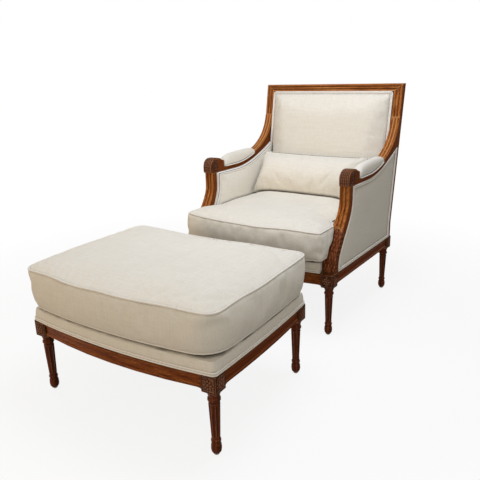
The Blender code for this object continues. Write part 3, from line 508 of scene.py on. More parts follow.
def rounded(outline: Outline, radius: float, steps: int) -> np.ndarray:
    """Rounds the sharp corners of a closed outline.

    Args:
        outline: the corners, in order.
        radius: how far along each side the rounding starts.
        steps: how many points each rounded corner has.

    Returns:
        The new outline.
    """
    corners = [Vector(corner) for corner in outline]
    points = []
    for i, corner in enumerate(corners):
        before = corners[i - 1] - corner
        after = corners[(i + 1) % len(corners)] - corner
        if before.angle(-after) < math.radians(12):
            points.append(corner)
            continue
        start = corner + before.normalized() * min(radius, before.length * 0.45)
        end = corner + after.normalized() * min(radius, after.length * 0.45)
        for k in range(steps + 1):
            t = k / steps
            points.append(start * (1 - t) ** 2 + corner * 2 * t * (1 - t) + end * t * t)
    return np.array([tuple(point) for point in points])


def inset(outline: np.ndarray, distance: float) -> np.ndarray:
    """Moves a closed outline inward, whichever way round it runs.

    Args:
        outline: the points, in order.
        distance: how far each point moves.

    Returns:
        The moved outline.
    """
    before = outline - np.roll(outline, 1, axis=0)
    after = np.roll(outline, -1, axis=0) - outline
    before /= np.linalg.norm(before, axis=1)[:, None]
    after /= np.linalg.norm(after, axis=1)[:, None]
    along = before + after
    along /= np.linalg.norm(along, axis=1)[:, None]
    normal = np.stack([-along[:, 1], along[:, 0]], axis=1)
    mitre = np.clip((along * after).sum(axis=1), 0.5, 1.0)
    return outline + normal * (math.copysign(distance, signed_area(outline)) / mitre)[:, None]


def trimmed_inset(outline: np.ndarray, distance: float) -> np.ndarray:
    """Moves an outline inward and drops the points that run into each other.

    Args:
        outline: the points, in order.
        distance: how far in the new outline lies.

    Returns:
        The moved outline, which may have fewer points.
    """
    moved = inset(spaced(outline, 0.02), distance)
    kept = moved[inside(moved, outline) & (rim_depth(moved, outline) > distance * 0.96)]
    ring = [kept[0]]
    for point in kept[1:]:
        if np.linalg.norm(point - ring[-1]) > 0.002:
            ring.append(point)
    return np.array(ring)


def rim_depth(points: np.ndarray, rim: np.ndarray) -> np.ndarray:
    """Each point's distance from a closed rim."""
    start = rim[None, :, :]
    side = (np.roll(rim, -1, axis=0) - rim)[None, :, :]
    away = points[:, None, :] - start
    share = np.clip((away * side).sum(2) / np.maximum((side * side).sum(2), 1e-12), 0, 1)
    return np.linalg.norm(away - side * share[..., None], axis=2).min(axis=1)


def inside(points: np.ndarray, rim: np.ndarray) -> np.ndarray:
    """Which points lie inside a closed rim."""
    x, y = points[:, 0][:, None], points[:, 1][:, None]
    x1, y1 = rim[:, 0][None, :], rim[:, 1][None, :]
    x2, y2 = np.roll(rim, -1, axis=0)[:, 0][None, :], np.roll(rim, -1, axis=0)[:, 1][None, :]
    spans = (y1 > y) != (y2 > y)
    rise = np.where(y2 == y1, 1.0, y2 - y1)
    return (spans & (x < (x2 - x1) * (y - y1) / rise + x1)).sum(axis=1) % 2 == 1


@dataclass
class Panel:
    """A panel of cloth cut to a rim, as a net of triangles with the rim's points first."""

    rim: int
    points: np.ndarray
    triangles: np.ndarray
    depth: np.ndarray

    @classmethod
    def cut(cls, rim: np.ndarray, spacing: float) -> Panel:
        """Cuts a panel.

        Args:
            rim: the closed rim's points, in order.
            spacing: how far apart the inner points are.

        Returns:
            The panel.
        """
        low, high = rim.min(axis=0), rim.max(axis=0)
        row = spacing * math.sqrt(3) / 2
        grid = []
        for j in range(1, math.ceil((high[1] - low[1]) / row)):
            shift = spacing / 2 if j % 2 else 0.0
            for i in range(math.ceil((high[0] - low[0]) / spacing)):
                grid.append((low[0] + shift + i * spacing, low[1] + j * row))
        grid = np.array(grid)
        depth = rim_depth(grid, rim)
        kept = inside(grid, rim) & (depth > spacing * 0.6)
        points = np.vstack([rim, grid[kept]])
        edges = [(i, (i + 1) % len(rim)) for i in range(len(rim))]
        found = delaunay_2d_cdt([Vector(p) for p in points], edges, [], 1, 1e-7)
        order = {}
        for made, originals in enumerate(found[3]):
            for original in originals:
                order[made] = original
        triangles = np.array([[order[i] for i in face] for face in found[2]])
        return cls(len(rim), points, triangles, np.concatenate([np.zeros(len(rim)), depth[kept]]))

    def turn_chords(self) -> None:
        """Turns each inner edge between two rim points, so that two panels share only the rim."""
        triangles = [tuple(int(i) for i in t) for t in self.triangles]
        owner = {}
        for number, (a, b, c) in enumerate(triangles):
            owner.update({(a, b): (number, c), (b, c): (number, a), (c, a): (number, b)})
        chords = [e for e in owner if max(e) < self.rim and e[0] < e[1] and e[::-1] in owner]
        while chords:
            for a, b in chords:
                (first, p), (second, q) = owner[a, b], owner[b, a]
                if max(p, q) >= self.rim:
                    break
            else:
                break
            chords.remove((a, b))
            del owner[a, b], owner[b, a]
            for number, corners in ((first, (a, q, p)), (second, (q, b, p))):
                triangles[number] = corners
                for turn in range(3):
                    edge = (corners[turn], corners[turn - 2])
                    owner[edge] = (number, corners[turn - 1])
        self.triangles = np.array(triangles)

    def crown(self, height: float, reach: float, fullness: float = 0.6) -> np.ndarray:
        """How far each point stands out of the rim's plane.

        Args:
            height: the crown's height.
            reach: how far from the rim it is reached.
            fullness: below 1 the edge is round and full, at 1 it is a slope.

        Returns:
            One height for each point.
        """
        share = np.clip(self.depth / reach, 0, 1)
        heights = height * (1 - (1 - share) ** 2.4) ** fullness
        for _ in range(12):
            total = np.zeros(len(heights))
            count = np.zeros(len(heights))
            for a, b in ((0, 1), (1, 2), (2, 0)):
                np.add.at(total, self.triangles[:, a], heights[self.triangles[:, b]])
                np.add.at(total, self.triangles[:, b], heights[self.triangles[:, a]])
                np.add.at(count, self.triangles[:, a], 1)
                np.add.at(count, self.triangles[:, b], 1)
            settled = 0.5 * heights + 0.5 * total / np.maximum(count, 1)
            near = np.clip(self.depth / (reach * 0.3), 0, 1)
            heights = heights + (settled - heights) * near
        return heights


def make_piece(
    name: str,
    points: Iterable[Sequence[float]],
    faces: Iterable[Sequence[int]],
    finish: bpy.types.Material,
    body: Body,
    smooth_angle: float,
) -> bpy.types.Object:
    """Makes a mesh piece that rides on a body.

    Args:
        name: the piece's name.
        points: its points in the frame.
        faces: its faces.
        finish: its material.
        body: the body it rides on.
        smooth_angle: edges sharper than this stay crisp, in degrees.

    Returns:
        The piece.
    """
    mesh = bpy.data.meshes.new(name)
    mesh.from_pydata([tuple(p) for p in points], [], [tuple(int(i) for i in f) for f in faces])
    mesh.validate()
    mesh.materials.append(finish)
    mesh.shade_smooth()
    mesh.set_sharp_from_angle(angle=math.radians(smooth_angle))
    piece = bpy.data.objects.new(name, mesh)
    bpy.context.scene.collection.objects.link(piece)
    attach(piece, body.value)
    LOG.info("%s: %d points, rides on %s", name, len(mesh.vertices), body.value)
    return piece


def smooth_out(piece: bpy.types.Object) -> None:
    """Gives a piece one step of smoothing."""
    smoothing = piece.modifiers.new("Smoothing", "SUBSURF")
    smoothing.levels = smoothing.render_levels = 1


def tube(path: Sequence[Vector], radius: float, closed: bool, sides: int = 8) -> tuple[list, list]:
    """A round cord along a path.

    Args:
        path: the points of its middle line.
        radius: half its thickness.
        closed: whether it joins up with itself.
        sides: how many sides its section has.

    Returns:
        Its points and its faces.
    """
    count = len(path)
    points = []
    normal = None
    for i, centre in enumerate(path):
        ahead = path[(i + 1) % count] if closed or i + 1 < count else centre
        behind = path[i - 1] if closed or i > 0 else centre
        along = (ahead - behind).normalized()
        if normal is None:
            normal = along.orthogonal().normalized()
        normal = (normal - along * normal.dot(along)).normalized()
        side = along.cross(normal)
        for k in range(sides):
            angle = 2 * math.pi * k / sides
            points.append(centre + (normal * math.cos(angle) + side * math.sin(angle)) * radius)
    faces = sleeve_faces(count, sides)
    if closed:
        first = np.array([tuple(p) for p in points[:sides]])
        last = np.array([tuple(p) for p in points[-sides:]]) - np.array(path[-1]) + np.array(path[0])
        gaps = [np.abs(np.roll(last, shift, axis=0) - first).sum() for shift in range(sides)]
        here, twist = (count - 1) * sides, int(np.argmin(gaps))
        faces = faces[2:]
        for k in range(sides):
            a, b = here + (k - twist) % sides, here + (k + 1 - twist) % sides
            faces.append((a, b, (k + 1) % sides, k))
    return points, faces


def joined(parts: Iterable[tuple[list, list]]) -> tuple[list, list]:
    """Puts several sets of points and faces into one."""
    points, faces = [], []
    for more_points, more_faces in parts:
        start = len(points)
        points += list(more_points)
        faces += [tuple(i + start for i in face) for face in more_faces]
    return points, faces


def slab_faces(columns: int, rows: int) -> Faces:
    """The faces of a slab between two equal grids of cells, the first of them seen face on."""
    width = columns + 1
    size = width * (rows + 1)
    faces = []
    for j in range(rows):
        for i in range(columns):
            a = j * width + i
            faces.append((a, a + 1, a + width + 1, a + width))
            faces.append(tuple(size + corner for corner in reversed(faces[-1])))
    rim = list(range(width))
    rim += [j * width + columns for j in range(1, rows + 1)]
    rim += [rows * width + i for i in range(columns - 1, -1, -1)]
    rim += [j * width for j in range(rows - 1, 0, -1)]
    return faces + [(b, a, size + a, size + b) for a, b in zip(rim, rim[1:] + rim[:1])]


def sleeve_faces(rings: int, sides: int) -> Faces:
    """The faces that close a row of rings of points, with a cap on each end."""
    faces = [tuple(range(sides - 1, -1, -1)), tuple(range((rings - 1) * sides, rings * sides))]
    for i in range(rings - 1):
        for k in range(sides):
            a, b = i * sides + k, i * sides + (k + 1) % sides
            faces.append((a, b, b + sides, a + sides))
    return faces


def end_ring(node: str, axis: Axis, high: bool) -> np.ndarray:
    """The rim of a node's flat end.

    Args:
        node: the node's name.
        axis: the axis that the end faces.
        high: whether it is the end with the higher value.

    Returns:
        The rim's points on the other two axes, in order.
    """
    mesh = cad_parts[node].data
    low_corner, high_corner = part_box(node)
    limit = (high_corner if high else low_corner)[axis.value]
    others = [other.value for other in Axis if other is not axis]

    def key(index: int) -> tuple[float, float]:
        """A point's place on the end, rounded so that doubled points agree."""
        co = mesh.vertices[index].co
        return (round(co[others[0]], 5), round(co[others[1]], 5))

    edges = set()
    for polygon in mesh.polygons:
        corners = list(polygon.vertices)
        if all(abs(mesh.vertices[i].co[axis.value] - limit) < 2e-5 for i in corners):
            for a, b in zip(corners, corners[1:] + corners[:1]):
                if (key(b), key(a)) in edges:
                    edges.remove((key(b), key(a)))
                else:
                    edges.add((key(a), key(b)))
    following = dict(edges)
    start = min(following)
    ring = [start]
    while following[ring[-1]] != start:
        ring.append(following[ring[-1]])
    return np.array(ring)


@dataclass
class Surface:
    """A node's surface, for laying carving and pads on it."""

    node: str
    tree: BVHTree = field(init=False)

    def __post_init__(self) -> None:
        """Reads the node's mesh."""
        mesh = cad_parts[self.node].data
        self.tree = BVHTree.FromPolygons(
            [v.co for v in mesh.vertices], [tuple(p.vertices) for p in mesh.polygons]
        )

    def hit(self, origin: Vector, direction: Vector) -> Vector | None:
        """Where a line from origin first meets the surface."""
        return self.tree.ray_cast(origin, direction, 1.0)[0]


@dataclass(frozen=True)
class Place:
    """The chair's or the stool's own frame on the floor."""

    x: float
    y: float
    turn: float = 0.0

    def matrix(self) -> Matrix:
        """Maps the set's own points to the frame."""
        return Matrix.Translation((self.x, self.y, 0)) @ Matrix.Rotation(self.turn, 4, "Z")


def middle_of(node: str) -> Vector:
    """The middle of a node's box."""
    low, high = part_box(node)
    return (low + high) / 2


def side_plane(x: float, place: Place) -> Matrix:
    """Maps an outline's X to Y and its Y to Z, with its third axis along X from here."""
    turned = Matrix(((0, 0, 1, 0), (1, 0, 0, 0), (0, 1, 0, 0), (0, 0, 0, 1)))
    return place.matrix() @ Matrix.Translation((x, 0, 0)) @ turned


# Stuffed pieces


@dataclass
class StuffedForm:
    """A closed form of cloth: a crowned face, a wall along its seams and a second face.

    A height of the form is measured along the third axis of its matrix. Where the wall has no
    height, the two faces share one seam, as a pillow's do.
    """

    name: str
    body: Body
    node: str
    matrix: Matrix
    low_rim: np.ndarray
    high_rim: np.ndarray
    low: float
    high: float
    crown: float
    crown_reach: float
    base_crown: float = 0.0
    base_reach: float = 0.03
    spacing: float = 0.010
    wall_rows: int = 9
    wall_belly: float = 0.0
    fullness: float = 0.6
    fill: float = 0.9
    pressure: float = 4.0
    slack: float = 0.02
    cap: float = 0.016
    pinned_base: bool = False
    smooth: bool = False
    waver: float = 0.0
    piece: bpy.types.Object = field(init=False)
    pinned: list[int] = field(init=False)

    def build(self, finish: bpy.types.Material) -> None:
        """Sews the form together.

        Args:
            finish: its cloth.
        """
        if signed_area(self.high_rim) < 0:
            self.high_rim, self.low_rim = self.high_rim[::-1], self.low_rim[::-1]
        counts = side_counts(self.high_rim, self.spacing)
        high_rim = subdivide(self.high_rim, counts)
        low_rim = subdivide(self.low_rim, counts)
        face = Panel.cut(high_rim, self.spacing)
        base = Panel.cut(low_rim, self.spacing)
        one_seam = self.high - self.low < 1e-6
        if one_seam:
            face.turn_chords()
            base.turn_chords()
        face_heights = self.high + face.crown(self.crown, self.crown_reach, self.fullness)
        base_heights = self.low - base.crown(self.base_crown, self.base_reach, 0.8)
        points = [(*p, h) for p, h in zip(face.points, face_heights)]
        faces = [tuple(t) for t in face.triangles]
        rim = face.rim
        self.pinned = list(range(rim))
        if one_seam:
            start = len(points) - rim
            points += [(*p, h) for p, h in zip(base.points[rim:], base_heights[rim:])]
            faces += [tuple(i if i < rim else start + i for i in t[::-1]) for t in base.triangles]
        else:
            start = len(points)
            points += [(*p, h) for p, h in zip(base.points, base_heights)]
            faces += [tuple(start + i for i in t[::-1]) for t in base.triangles]
            outward = high_rim - inset(high_rim, 1.0)
            rows = [[start + i for i in range(rim)]]
            for row in range(1, self.wall_rows):
                share = row / self.wall_rows
                swell = self.wall_belly * math.sin(math.pi * share) ** 0.6
                ring = low_rim + (high_rim - low_rim) * share + outward * swell
                rows.append([len(points) + i for i in range(rim)])
                points += [(*p, self.low + (self.high - self.low) * share) for p in ring]
            rows.append(list(range(rim)))
            for lower, upper in zip(rows, rows[1:]):
                for i in range(rim):
                    j = (i + 1) % rim
                    faces.append((lower[i], lower[j], upper[j], upper[i]))
            self.pinned += range(len(face.points), len(points)) if self.pinned_base else rows[0]
        if self.matrix.to_3x3().determinant() < 0:
            faces = [tuple(reversed(f)) for f in faces]
        placed = [self.wavered(Vector(p)) for p in points]
        self.piece = make_piece(self.name, placed, faces, finish, self.body, 70.0)
        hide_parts(self.node)

    def seam(self, high: bool, outset: float, lift: float = 0.0) -> list[Vector]:
        """The seam's line in the frame, moved out of the outline and up by this much."""
        rim = self.high_rim if high else self.low_rim
        counts = side_counts(self.high_rim, self.spacing)
        ring = inset(subdivide(rim, counts), -outset)
        height = (self.high if high else self.low) + lift
        return [self.wavered(Vector((*p, height))) for p in ring]

    def wavered(self, point: Vector) -> Vector:
        """Places a point in the frame, with the slight unevenness of used stuffing."""
        share = 1.0
        if self.high - self.low > 1e-6:
            share = min(max((point.z - self.low) / (self.high - self.low), 0.0), 1.0)
        swell = noise.noise(Vector((point.x * 6.5, point.y * 6.5, self.high * 10)))
        return self.matrix @ (point + Vector((0, 0, self.waver * share * swell)))

    def start_cloth(self) -> None:
        """Gives the piece its Cloth modifier, pinned along its seams."""
        group = self.piece.vertex_groups.new(name="seams")
        group.add(self.pinned, 1.0, "REPLACE")
        cloth = self.piece.modifiers.new("Stuffing", "CLOTH")
        settings = cloth.settings
        settings.quality = 6
        settings.mass = 0.3
        settings.tension_stiffness = 12
        settings.compression_stiffness = 12
        settings.shear_stiffness = 6
        settings.bending_stiffness = 0.6
        settings.air_damping = 4
        settings.vertex_group_mass = "seams"
        settings.use_pressure = True
        settings.uniform_pressure_force = self.pressure
        settings.shrink_min = -self.slack
        settings.effector_weights.gravity = 0
        cloth.collision_settings.use_collision = False
        cloth.point_cache.frame_start = 1
        cloth.point_cache.frame_end = CLOTH_FRAMES

    def settle(self) -> None:
        """Keeps the shape that the cloth has taken, with each point's way capped."""
        graph = bpy.context.evaluated_depsgraph_get()
        stuffed = self.piece.evaluated_get(graph).data
        count = len(self.piece.data.vertices)
        before = np.zeros(count * 3)
        after = np.zeros(count * 3)
        self.piece.data.vertices.foreach_get("co", before)
        stuffed.vertices.foreach_get("co", after)
        way = (after - before).reshape(-1, 3)
        length = np.linalg.norm(way, axis=1)
        kept = self.cap * np.tanh(length / self.cap) / np.maximum(length, 1e-9)
        moved = before.reshape(-1, 3) + way * kept[:, None]
        LOG.info("%s: the stuffing moves it %.1f mm at most", self.name, length.max() * 1000)
        self.piece.modifiers.remove(self.piece.modifiers["Stuffing"])
        self.piece.data.vertices.foreach_set("co", moved.ravel())
        self.piece.data.update()

    def soften(self) -> None:
        if self.smooth:
            smooth_out(self.piece)


def stuff(forms: Sequence[StuffedForm]) -> None:
    """Runs the cloth of every form at once and keeps the shapes it takes."""
    scene = bpy.context.scene
    scene.frame_start, scene.frame_end = 1, CLOTH_FRAMES
    for form in forms:
        form.start_cloth()
    for step in range(1, CLOTH_FRAMES + 1):
        scene.frame_set(step)
    for form in forms:
        form.settle()
    scene.frame_set(1)
    for form in forms:
        form.soften()


@dataclass(frozen=True)
class Piping:
    """A cord in bias-cut cloth, sewn into a seam or glued along the wood as a double welt."""

    name: str
    body: Body
    radius: float = 0.0036

    def sew(
        self, paths: Sequence[Sequence[Vector]], finish: bpy.types.Material, closed: bool = True
    ) -> None:
        """Makes one piece of all the cords.

        Args:
            paths: each cord's middle line in the frame.
            finish: its cloth.
            closed: whether the cords join up with themselves.
        """
        points, faces = joined(tube(path, self.radius, closed) for path in paths)
        make_piece(self.name, points, faces, finish, self.body, 80.0)


# Carving


@dataclass
class Carving:
    """Relief raised on a node's surface over a grid of lines of sight."""

    name: str
    body: Body
    surface: Surface
    finish: bpy.types.Material
    full_height: float = 0.0045
    sunk: float = 0.0006
    parts: list[tuple[list, list]] = field(default_factory=list)
    hollows: list[float] = field(default_factory=list)

    def raise_relief(
        self,
        columns: int,
        rows: int,
        sight: Sight,
        relief: Callable[[float, float], float],
        stained_ground: bool = False,
    ) -> None:
        """Adds one closed patch of relief.

        Args:
            columns: how many cells it has across.
            rows: how many cells it has along.
            sight: gives a line's origin and direction at a place, each from -1 to 1.
            relief: gives the height there.
            stained_ground: whether the ground beside the motif is as dark as its hollows.
        """
        tops, roots, depths = [], [], []
        for j in range(rows + 1):
            for i in range(columns + 1):
                u, v = 2 * i / columns - 1, 2 * j / rows - 1
                origin, direction = sight(u, v)
                found = self.surface.hit(origin, direction)
                if found is None:
                    found = self.surface.tree.find_nearest(origin)[0]
                height = relief(u, v)
                bare = height < 1e-6 and not stained_ground
                share = height / self.full_height
                depth = 1 - smoothstep(share / 0.72) - smoothstep((share - 0.72) / 0.28)
                depths.append(0.0 if bare else depth)
                tops.append(found - direction * (-self.sunk / 2 if bare else height))
                roots.append(found + direction * self.sunk)
        self.parts.append((tops + roots, slab_faces(columns, rows)))
        self.hollows += depths + depths

    def finish_piece(self) -> None:
        """Makes one piece of all the patches and notes how deep each point lies."""
        points, faces = joined(self.parts)
        piece = make_piece(self.name, points, faces, self.finish, self.body, 60.0)
        hollow = piece.data.attributes.new(HOLLOW, "FLOAT", "POINT")
        hollow.data.foreach_set("value", self.hollows)


def rosette(u: float, v: float) -> float:
    """A framed rosette's height: a raised border, eight petals and a button."""
    edge = max(abs(u), abs(v))
    out = math.hypot(u, v)
    if edge > 0.80:
        rise = smoothstep((edge - 0.80) / 0.05) * (1 - smoothstep((edge - 0.93) / 0.07))
        return 0.0020 * rise
    if out > 0.76:
        return 0.0
    turn = math.atan2(v, u)
    if out < 0.2:
        return 0.0046 * math.sqrt(max(0.0, 1 - (out / 0.24) ** 2))
    along = (out - 0.2) / 0.56
    petal = abs(math.cos(4 * turn))
    edge_here = 0.62 + 0.38 * petal
    if along > edge_here:
        return 0.0
    dish = math.sin(math.pi * min(1.0, along / edge_here) ** 0.8) ** 0.6
    return 0.0042 * dish * (0.25 + 0.75 * petal**0.7) + 0.0003


def on_disc(u: float, v: float) -> tuple[float, float]:
    """Moves a place of a square from -1 to 1 to its place on the round disc inside it."""
    return u * math.sqrt(1 - v * v / 2), v * math.sqrt(1 - u * u / 2)


def scroll(u: float, v: float) -> float:
    """A knuckle's side: a spiral ridge that winds in to a small flower."""
    x, y = on_disc(u, v)
    out = math.hypot(x, y)
    turn = math.atan2(y, x)
    fade = 1 - smoothstep((out - 0.90) / 0.10)
    if out < 0.36:
        petal = 0.5 + 0.5 * math.cos(6 * turn)
        if out < 0.12:
            return 0.0040
        return 0.0006 + 0.0032 * petal * math.sin(math.pi * (out - 0.08) / 0.32)
    winding = (out - turn / (2 * math.pi) * 0.32) / 0.32
    ridge = 0.5 + 0.5 * math.cos(2 * math.pi * winding)
    return (0.0003 + 0.0037 * ridge**0.8) * fade


def lobes(u: float, v: float) -> float:
    """Five narrow lobes side by side that fold over the knuckle, notched across like scales."""
    phase = 2.5 * (u + 1)
    across = 2 * abs(phase - math.floor(phase) - 0.5)
    swell = math.sqrt(max(0.0, 1 - across**2.4))
    row = (v + 1) * 6.5 + 0.45 * (1 - across)
    notch = math.exp(-(((row - math.floor(row) - 0.5) / 0.15) ** 2))
    ends = smoothstep((1 - abs(v)) / 0.10) * smoothstep((1 - abs(u)) / 0.05)
    return (0.0004 + 0.0042 * swell * (1 - 0.55 * notch)) * ends


def reeds(share: float, along: float) -> float:
    """The height of the frame's moulding on the sweep: three reeds with two grooves.

    Args:
        share: from 0 at the outer edge to 1 at the inner one.
        along: from 0 at the stile to 1 at the pad.

    Returns:
        The height.
    """
    groove = max(math.exp(-(((share - middle) / 0.058) ** 2)) for middle in (0.34, 0.70))
    swell = 0.75 + 0.25 * abs(math.sin(math.pi * (share - 0.34) / 0.36)) ** 0.5
    ends = smoothstep(along / 0.015) * smoothstep((1 - along) / 0.03)
    return (0.0002 + 0.0018 * swell * (1 - groove)) * ends


def tongue(across: float, along: float) -> float:
    """One leaflet of a carved leaf, as a height from 0 to 1.

    Args:
        across: from -0.5 to 0.5 over its width.
        along: from 0 at its root to 1 at its tip.

    Returns:
        The height, negative outside the leaflet.
    """
    half = 0.52 * math.sqrt(max(0.0, 1 - max(0.0, (along - 0.30) / 0.70) ** 2))
    if abs(across) > half or half < 0.02:
        return -1.0
    dome = math.sqrt(max(0.0, 1 - (across / half) ** 2))
    vein = 1 - 0.30 * math.exp(-((across / 0.07) ** 2))
    return (0.25 + 0.75 * along) * dome * vein


def acanthus(u: float, v: float, rows: float = 11.0, columns: float = 9.0) -> float:
    """A leaf's height: rows of leaflets that overlap upward, round a post to a point in front."""
    rise = (v + 1) / 2
    reach = 1.0 - 0.90 * smoothstep((rise - 0.72) / 0.28) ** 1.5
    if abs(u) > reach:
        return 0.0
    best = 0.0
    place = rise * rows + 0.5 * abs(u)
    for back in (0, 1):
        row = math.floor(place) - back
        along = (place - row) / 1.45
        cell = u * columns / 2 + 0.5 * (row % 2)
        height = tongue(cell - math.floor(cell) - 0.5, min(along, 1.0)) if along <= 1 else -1.0
        if height > 0:
            best = height if back else max(best, height * 0.8)
    rib = math.exp(-((u / 0.05) ** 2))
    edge = smoothstep((reach - abs(u)) / 0.11)
    ends = smoothstep((1.0 - rise) / 0.10) * smoothstep(rise / 0.03)
    return (0.0004 + 0.0040 * best + 0.0010 * rib) * edge * ends


# What the chair and the stool share


@dataclass
class Seat:
    """A seat on rails, in its own frame: its sewn forms, boxed cushion, deck and welts."""

    place: Place
    finishes: FinishShelf
    body: Body = Body.CHAIR
    rail_top: float = 0.2585
    deck_top: float = 0.3045
    forms: list[StuffedForm] = field(default_factory=list)

    def stuffed(
        self,
        name: str,
        node: str,
        matrix: Matrix,
        rims: Rims,
        heights: tuple[float, float],
        body: Body | None = None,
        **sizes: float,
    ) -> StuffedForm:
        """Sews one form in the cloth and keeps it for the stuffing.

        Args:
            name: the piece's name.
            node: the node that it replaces.
            matrix: maps the form's own points to the frame.
            rims: its low and its high rim.
            heights: where they lie on the form's third axis.
            body: the body it rides on, where that isn't the seat's own.
            sizes: the form's other sizes.

        Returns:
            The form.
        """
        form = StuffedForm(name, body or self.body, node, matrix, *rims, *heights, **sizes)
        form.build(self.finishes.cloth)
        self.forms.append(form)
        return form

    def add_welt(self, name: str, lines: Sequence, radius: float, closed: bool = True) -> None:
        """Glues welts of one thickness along these lines, as one piece."""
        Piping(name, self.body, radius).sew(lines, self.finishes.welt, closed)

    def add_boxed_cushion(
        self, node: str, body: Body, rims: Rims, heights: tuple[float, float], **crowns: float
    ) -> None:
        """Makes a loose boxed cushion with its two piped seams.

        Args:
            node: the node that it replaces.
            body: the body it rides on.
            rims: its low and its high seam.
            heights: how high they lie.
            crowns: the sizes of its crowned faces.
        """
        low_box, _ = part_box(node)
        cushion = self.stuffed(
            f"{node}_cover", node, self.place.matrix(), rims, heights, body, wall_belly=0.0045,
            wall_rows=8, base_crown=heights[0] - low_box.z - 0.001, spacing=0.013, smooth=True,
            waver=0.006, **crowns,
        )
        seams = [cushion.seam(False, PIPING_OUTSET), cushion.seam(True, PIPING_OUTSET, 0.0012)]
        Piping(f"{node}_piping", body).sew(seams, self.finishes.piping)

    def add_deck_cover(
        self, node: str, rims: Rims, drop: float, crown: float, belly: float
    ) -> None:
        """Covers a sprung deck.

        Args:
            node: the deck's node.
            rims: its low and its high rim.
            drop: how far below the deck's top the high rim lies.
            crown: how far the top is crowned.
            belly: how far the walls swell.
        """
        heights = (self.rail_top + 0.0006, self.deck_top - drop)
        self.stuffed(
            f"{node}_cover", node, self.place.matrix(), rims, heights, crown=crown, crown_reach=0.03,
            wall_rows=4, wall_belly=belly, pinned_base=True, slack=0.0, cap=0.002, spacing=0.020,
        )


# The chair


@dataclass
class PostLine:
    """The arm post's line in the side plane: upright, then leaning back, then upright."""

    low: float = 0.2849
    high: float = 0.5199
    foot_setback: float = 0.013
    head_setback: float = 0.128
    depth: float = 0.032
    foot: float = 0.2585
    foot_width: float = 0.052
    head_width: float = 0.042

    def width(self, z: float) -> float:
        """The post's width at this height."""
        share = smoothstep((z - self.foot) / (self.high - self.foot))
        return self.foot_width + (self.head_width - self.foot_width) * share

    def centre(self, z: float) -> float:
        """How far behind the front legs' axis the post's middle is at this height."""
        t = smoothstep((z - self.low) / (self.high - self.low))
        return self.foot_setback + (self.head_setback - self.foot_setback) * t

    def edge(self, z: float, out: float) -> float:
        """The Y of a line this far in front of or behind the middle, square to it."""
        step = 0.01
        slope = (self.centre(z + step) - self.centre(z - step)) / (2 * step)
        return self.centre(z) + out * math.sqrt(1 + slope * slope)


